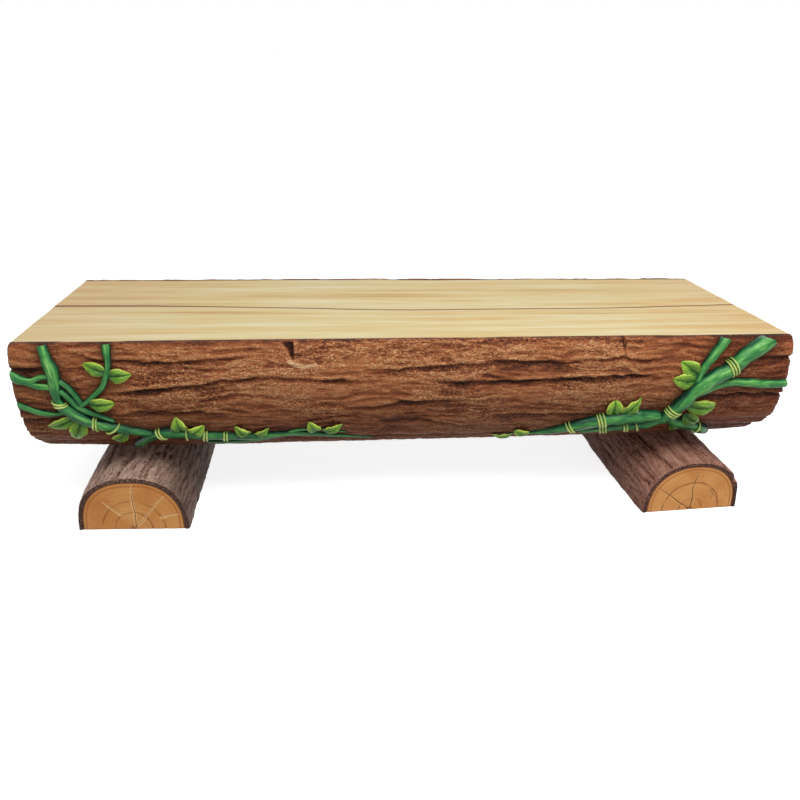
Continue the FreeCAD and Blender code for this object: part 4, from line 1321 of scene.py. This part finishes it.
def stem_end(centre, inner, radius, is_cut):
    """Points past an end and their radii: one for a cut end, five for a rounded one."""
    way = (centre - inner) / np.linalg.norm(centre - inner)
    if is_cut:
        return [centre + way * 0.004], [radius]
    angles = np.radians((22, 42, 60, 75, 86))
    rounded = [centre + way * radius * math.sin(a) for a in angles]
    return rounded, [radius * math.cos(a) for a in angles]


print("left trunk:", len(stem_course("left_trunk")[0]), "centres")

# %% [markdown]
# Each stem's points, radii and outward directions go through the tube tree, with a seed of its own.


# %% Stems
def grow_stem(name, seed):
    centres, radii, normals = stem_course(name)
    line = stem_lines[name]
    is_cut = (line[[0, -1], 1] < 0.03) | (np.abs(line[[0, -1], 0]) > 0.494 * 2 * half_length)
    head, head_radii = stem_end(centres[0], centres[1], radii[0], is_cut[0])
    tail, tail_radii = stem_end(centres[-1], centres[-2], radii[-1], is_cut[1])
    points = np.vstack([head[::-1], centres, tail])
    thick = np.r_[head_radii[::-1], radii, tail_radii]
    outward = np.vstack([[normals[0]] * len(head), normals, [normals[-1]] * len(tail)])
    edges = [(k, k + 1) for k in range(len(points) - 1)]
    settings = {
        "Sides": 22, "Knots": 0.55, "Knot Scale": 34.0, "Seed": float(seed),
        "Seat": seat_height - 0.0002, "Reach": half_length - 0.004, "Finish": creeper_stem,
    }
    marks = {"thick": thick, "outward": outward}
    piece = grown(f"creeper_{name}", tube_tree, points, edges, marks, settings)
    return keep(piece, "creeper_stem", f"stem_{name}")


for seed, name in enumerate(stem_paths):
    grow_stem(name, seed)

# %% [markdown]
# ## Leaves
# Each leaf is a thin closed blade: two grids, a top and an underside, that share their edge. The
# blade puffs up on each side of a sunk midrib, its side veins are pressed in, and it arches from the
# stem to its tip. One tree makes them all, so each leaf is a row of numbers.

# %% Leaf nodes
leaf_sizes = (
    "Length", "Width", "Belly", "Point", "Rise", "Puff", "Wave", "Droop", "Sweep", "Vein", "Phase")
leaf_labels = {**dict.fromkeys(leaf_sizes, "Float"), "Finish": "Material"}
blade_thickness = 0.0024
leaf_tree, start, given = new_tree("leaf_blade", leaf_labels)
place = start.node("GeometryNodeInputPosition")
x, y, _ = axes_of(place)
along = start.node("GeometryNodeInputNamedAttribute", {0: "along"}, data_type="FLOAT")
across = start.node("GeometryNodeInputNamedAttribute", {0: "across"}, data_type="FLOAT")
spread = across.size()
bulge = along ** given["Belly"] * math.pi
bulge = bulge.math("SINE", bulge)
outline = bulge.math("MAXIMUM", bulge, 0.0) ** given["Point"]
half_width = outline * given["Width"] * 0.5
lobes = (spread * (1 - spread) * 4) ** 0.8
swing = (along * 2.6 + given["Phase"]) * math.tau
ripple = swing.math("SINE", swing) * spread ** 3
slant = (along - spread * 0.30) * 6.5
vein = slant.math("PINGPONG", slant, 0.5)
vein = (1 - vein.ease(0.0, 0.16)) * spread.ease(0.02, 0.2) * (1 - spread.ease(0.70, 0.98))
rib = 1 - spread.ease(0.0, 0.10)
half_turn = along * math.pi
height = half_turn.math("SINE", half_turn) * given["Rise"]
height = height + lobes * outline * given["Puff"] + ripple * outline * given["Wave"]
height = height - along ** 3 * given["Droop"] - (vein + rib * 1.3) * outline * given["Vein"]
slide = along * along * given["Sweep"]
top_place = vector_of(along * given["Length"], across * half_width + slide, height)
thickness = (1 - spread ** 2) * outline * blade_thickness
low_place = vector_of(along * given["Length"], across * half_width + slide, height - thickness)
layers = []
for spot, flips in ((top_place, False), (low_place, True)):
    sheet = start.node("GeometryNodeMeshGrid", {0: 1.0, 1: 2.0, 2: 33, 3: 25})
    sheet = store(start, store(start, sheet, "along", x + 0.5), "across", y)
    sheet = start.node("GeometryNodeSetPosition", {0: sheet, 2: spot})
    layers.append(start.node("GeometryNodeFlipFaces", {0: sheet}) if flips else sheet)
blade = start.node("GeometryNodeJoinGeometry", {0: layers})
blade = start.node("GeometryNodeMergeByDistance", {0: blade, 2: 0.000002})
dress(start, blade, given["Finish"])
print("leaf tree:", len(leaf_tree.nodes), "nodes")

# %% [markdown]
# The leaf paint is yellow-green with dark veins, dark streaks from the base, and bright yellow edges.
# The blade's own along and across numbers place it. Two leaves in the log's shade get a darker set.


# %% Leaf finish
def leaf_finish(name, shade):
    made, start = new_finish(name)
    along, across = mark(start, "along"), mark(start, "across")
    spread = across.size()
    place = object_place(start)
    patch = place.noise((55, 55, 55), 3)
    brush = vector_of(along * 3, across * 7, patch * 2).noise((1, 1, 1), 4, 0.6)
    slant = (along - spread * 0.30) * 6.5
    vein = 1 - slant.math("PINGPONG", slant, 0.5).ease(0.0, 0.15)
    rib = 1 - spread.ease(0.02, 0.11)
    tone = 0.38 + (brush - 0.5) * 1.1 + (along - 0.45) * 0.30
    tone = tone + (spread - 0.5) * 0.25 + (patch - 0.5) * 0.3
    colour = tone.ramp(
        (0.04, (0.014, 0.070, 0.006)), (0.95, (0.74, 0.82, 0.105)), (0.30, (0.085, 0.235, 0.018)),
        (0.52, (0.26, 0.47, 0.042)), (0.74, (0.46, 0.66, 0.062)))
    dark = (vein * 0.62).math("MAXIMUM", vein * 0.62, rib * 0.8) * (1 - along.ease(0.6, 1.0) * 0.5)
    colour = dark.mix(colour, (0.022, 0.085, 0.012))
    colour = ((1 - along.ease(0.02, 0.36)) * 0.6).mix(colour, (0.010, 0.090, 0.038))
    colour = (spread.ease(0.78, 0.96) * 0.8).mix(colour, (0.68, 0.74, 0.13))
    # painted shade for the leaves in the log's shade
    if shade:
        inputs = {0: shade, 6: colour, 7: (0.35, 0.45, 0.32, 1)}
        colour = start.node("ShaderNodeMix", inputs, out=2, data_type="RGBA", blend_type="MULTIPLY")
    rough = 0.34 + (brush - 0.5) * 0.2
    sockets = {"Base Color": colour, "Roughness": rough, "Specular IOR Level": 0.25}
    surface(start, sockets, brush, 0.0008)
    return made


creeper_leaf = leaf_finish("creeper_leaf", 0)
creeper_leaf_shaded = leaf_finish("creeper_leaf_shaded", 0.8)
print("leaf paint:", len(creeper_leaf.node_tree.nodes), "nodes")

# %% [markdown]
# Each row gives a leaf's base and tip on the bark, its width by length, and how it is shaped: the
# belly's place, the sharpness of the tip, the arch, the puff of its halves and the ripple of its edge.

# %% Leaves
leaf_rows = {
    "left": (
        ((-0.388, 0.124), (-0.415, 0.080), 0.48, 0.42, 0.80, 0.10, 0.07, 0.03),
        ((-0.387, 0.134), (-0.358, 0.130), 0.56, 0.42, 0.85, 0.14, 0.08, 0.03),
        ((-0.415, 0.258), (-0.384, 0.257), 0.52, 0.50, 0.60, 0.14, 0.08, 0.02),
        ((-0.434, 0.324), (-0.471, 0.379), 0.36, 0.42, 0.85, 0.10, 0.06, 0.03),
        ((-0.428, 0.337), (-0.441, 0.443), 0.52, 0.46, 0.80, 0.12, 0.07, 0.04),
        ((-0.378, 0.420), (-0.401, 0.485), 0.52, 0.42, 0.90, 0.20, 0.06, 0.03),
        ((-0.308, 0.422), (-0.314, 0.327), 0.58, 0.44, 0.85, 0.18, 0.08, 0.04),
        ((-0.299, 0.418), (-0.279, 0.365), 0.60, 0.46, 0.70, 0.26, 0.10, 0.02),
        ((-0.222, 0.455), (-0.243, 0.410), 0.58, 0.46, 0.70, 0.20, 0.10, 0.02),
        ((-0.219, 0.473), (-0.198, 0.426), 0.44, 0.42, 0.90, 0.18, 0.06, 0.03),
        ((-0.134, 0.447), (-0.146, 0.372), 0.60, 0.44, 0.80, 0.14, 0.08, 0.03),
        ((-0.128, 0.450), (-0.101, 0.408), 0.45, 0.42, 0.90, 0.14, 0.06, 0.03),
    ),
    "right": (
        ((0.371, 0.174), (0.346, 0.106), 0.62, 0.44, 0.75, 0.12, 0.08, 0.04),
        ((0.370, 0.200), (0.337, 0.191), 0.60, 0.46, 0.70, 0.12, 0.08, 0.03),
        ((0.267, 0.385), (0.263, 0.295), 0.72, 0.48, 0.58, 0.10, 0.08, 0.03),
        ((0.279, 0.383), (0.298, 0.277), 0.46, 0.40, 1.00, 0.12, 0.06, 0.06),
        ((0.364, 0.325), (0.410, 0.342), 0.48, 0.50, 0.60, 0.12, 0.08, 0.02),
        ((0.368, 0.378), (0.393, 0.442), 0.56, 0.42, 0.85, 0.14, 0.07, 0.03),
        ((0.158, 0.518), (0.135, 0.468), 0.55, 0.50, 0.60, 0.12, 0.08, 0.02),
        ((0.138, 0.532), (0.106, 0.548), 0.44, 0.42, 0.85, 0.10, 0.06, 0.03),
        ((0.360, 0.448), (0.382, 0.545), 0.42, 0.42, 0.90, 0.14, 0.06, 0.04),
    ),
}
shaded_leaves = {"right_06", "right_09"}
tip_lifts = {
    "left_04": 0.006, "left_05": 0.012, "left_07": 0.010, "left_08": 0.012, "left_11": 0.008,
    "right_06": 0.008, "right_07": 0.006,
}


def bark_height(along, girth):
    """Relief of the front bark at one place."""
    column = (along + half_length) / (2 * half_length) * (front_relief.shape[0] - 1)
    row = girth * (front_relief.shape[1] - 1)
    return front_relief[int(round(column)), int(round(row))]


def grow_leaf(name, row, seed):
    (base_along, base_girth), (tip_along, tip_girth), width_share, belly, point, rise, puff, wave = row
    base_along, tip_along = base_along * 2 * half_length, tip_along * 2 * half_length
    base = bark_point(base_along, base_girth, bark_height(base_along, base_girth) + 0.0035)
    tip_lift = 0.0015 + tip_lifts.get(name, 0)
    tip = bark_point(tip_along, tip_girth, bark_height(tip_along, tip_girth) + tip_lift)
    length = float(np.linalg.norm(tip - base))
    way = Vector((tip - base) / length)
    out = Vector(bark_normal((base_girth + tip_girth) / 2))
    side = out.cross(way).normalized()
    out = way.cross(side)
    chance = np.random.default_rng(seed)
    settings = {
        "Length": length, "Width": length * width_share * 1.2,
        "Belly": math.log(0.5) / math.log(belly), "Point": point,
        "Rise": length * rise, "Puff": length * puff * 1.35,
        "Wave": length * wave, "Droop": length * 0.02,
        "Sweep": length * float(chance.uniform(-0.06, 0.06)), "Vein": length * 0.016,
        "Phase": float(chance.uniform(0, 1)),
        "Finish": creeper_leaf_shaded if name in shaded_leaves else creeper_leaf,
    }
    piece = grown(f"blade_{name}", leaf_tree, [(0, 0, 0)], [], {}, settings)
    turn = Matrix((way, side, out)).transposed().to_4x4()
    piece.data.transform(Matrix.Translation(Vector(base)) @ turn)
    return keep(piece, "creeper_leaf", f"leaf_{name}")


for side, rows in leaf_rows.items():
    for number, row in enumerate(rows, 1):
        grow_leaf(f"{side}_{number:02d}", row, 1000 + number + 100 * (side == "right"))

# %% [markdown]
# ## Lashings
# Thin strands are wound over the stems in ones, twos and threes. Their paint is yellow-green, with a
# painted highlight where a strand faces out from the bark.


# %% Lashing finish
def tie_finish(name):
    made, start = new_finish(name)
    crown = mark(start, "crown")
    patch = object_place(start).noise((90, 90, 90), 3)
    # painted highlight where a strand faces out from the bark
    tone = 0.45 + crown * 0.25 + (patch - 0.5) * 0.9
    colour = tone.ramp(
        (0.1, (0.06, 0.16, 0.02)), (0.9, (0.72, 0.80, 0.24)), (0.5, (0.36, 0.50, 0.11)))
    surface(start, {"Base Color": colour, "Roughness": 0.4 + (patch - 0.5) * 0.2}, patch, 0.0006)
    return made


creeper_tie = tie_finish("creeper_tie")
print("lashing paint:", len(creeper_tie.node_tree.nodes), "nodes")

# %% [markdown]
# Each strand is half a turn over a stem and a little more, swept by the same tube tree, and its ends
# are tucked down to the bark. A row gives a share of the stem's length, a lean in degrees and a count.

# %% Lashings
lashing_rows = {
    "left": {
        "left_trunk": ((0.44, -30, 2), (0.71, 22, 2), (0.79, -40, 1)),
        "left_runner": ((0.17, 18, 2), (0.29, 14, 1), (0.37, 0, 2), (0.44, 0, 2)),
    },
    "right": {
        "right_trunk": ((0.25, -10, 3), (0.80, 8, 3)),
        "right_strand": ((0.47, 8, 1), (0.57, 4, 2), (0.75, 8, 3)),
        "right_runner": ((0.365, 6, 3), (0.57, 18, 2)),
        "right_branch": ((0.77, 8, 1),),
    },
}
strand_radius = 0.0025
strand_pitch = 0.007
strand_points = 23
strand_thickness = strand_radius * (
    0.55 + 0.45 * np.sin(np.linspace(0.1, math.pi - 0.1, strand_points)))


def strand_course(name, share, lean, shift):
    """Points over a stem, and the bark's outward direction there."""
    centres, radii, normals = stem_course(name)
    runs = np.r_[0, np.cumsum(np.linalg.norm(np.diff(centres, axis=0), axis=1))]
    run = np.interp(share * (len(centres) - 1), np.arange(len(centres)), runs) + shift

    def there(rows):
        return Vector([np.interp(run, runs, column) for column in np.transpose(rows)])

    centre, out = there(centres), there(normals).normalized()
    way = there(np.gradient(centres, runs, axis=0)).normalized()
    way = Matrix.Rotation(math.radians(lean), 3, out) @ way
    side = way.cross(out).normalized()
    radius = float(np.interp(run, runs, radii))
    reach = (radius + 0.7 * strand_radius) / math.cos(math.radians(lean))
    angles = np.radians(np.linspace(-108, 108, strand_points))
    return [centre + reach * (math.cos(a) * out + math.sin(a) * side) for a in angles], out


for side, stems in lashing_rows.items():
    points, edges, thick, outward = [], [], [], []
    for name, rows in stems.items():
        for share, lean, count in rows:
            for number in range(count):
                shift = (number - (count - 1) / 2) * strand_pitch
                course, out = strand_course(name, share, lean + 3 * (number % 2), shift)
                first = len(points)
                points += [tuple(point) for point in course]
                outward += [tuple(out)] * strand_points
                edges += [(first + k, first + k + 1) for k in range(strand_points - 1)]
                thick += list(strand_thickness)
    settings = {
        "Sides": 10, "Knots": 0.5, "Knot Scale": 120.0, "Seed": 3.0, "Seat": seat_height,
        "Reach": half_length, "Finish": creeper_tie,
    }
    marks = {"thick": thick, "outward": outward}
    piece = grown(f"lashing_{side}", tube_tree, points, edges, marks, settings)
    keep(piece, "creeper_tie", f"ties_{side}")

# %% [markdown]
# ## The frame inside
# The rails, webs, bearers and foot cores are plain timber, and the fixings are zinc-plated steel.
# They stay as the solids are, with procedural finishes: grain along each piece, and a mottled plating.


# %% Timber and zinc
def timber_finish(name, axis):
    made, start = new_finish(name)
    place = object_place(start)
    scale = [110, 110, 110]
    scale[axis] = 5
    grain = place.noise(scale, 4, 0.6)
    cloud = place.noise((7, 7, 7), 3)
    tone = 0.5 + (grain - 0.5) * 1.0 + (cloud - 0.5) * 0.5
    colour = tone.ramp(
        (0.2, (0.33, 0.20, 0.10)), (0.8, (0.66, 0.50, 0.30)), (0.5, (0.52, 0.36, 0.20)))
    surface(start, {"Base Color": colour, "Roughness": 0.62 + (grain - 0.5) * 0.3}, grain, 0.0006)
    return made


def zinc_finish(name):
    made, start = new_finish(name)
    place = object_place(start)
    cloud = place.noise((160, 160, 160), 3)
    colour = cloud.ramp((0.3, (0.42, 0.43, 0.44)), (0.7, (0.66, 0.67, 0.66)))
    rough = 0.34 + (cloud - 0.5) * 0.35
    surface(start, {"Base Color": colour, "Metallic": 1.0, "Roughness": rough}, cloud, 0.0002)
    return made


timber_along, timber_across = timber_finish("timber_along", 0), timber_finish("timber_across", 1)
zinc = zinc_finish("zinc")
plain_nodes = {
    timber_along: ("rail_front", "rail_centre", "rail_rear", "rail_dowels"),
    timber_across: (
        "web_left", "web_middle", "web_right", "bearer_left", "bearer_right", "foot_core_left",
        "foot_core_right"),
    zinc: ("foot_bolts", "foot_bolt_washers", "foot_bolt_nuts", "board_screws", "rail_screws"),
}
for finish, names in plain_nodes.items():
    for name in names:
        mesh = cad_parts[name].data
        for number in range(len(mesh.materials)):
            mesh.materials[number] = finish
        if not mesh.materials:
            mesh.materials.append(finish)
print("finishes on", sum(len(names) for names in plain_nodes.values()), "solids")
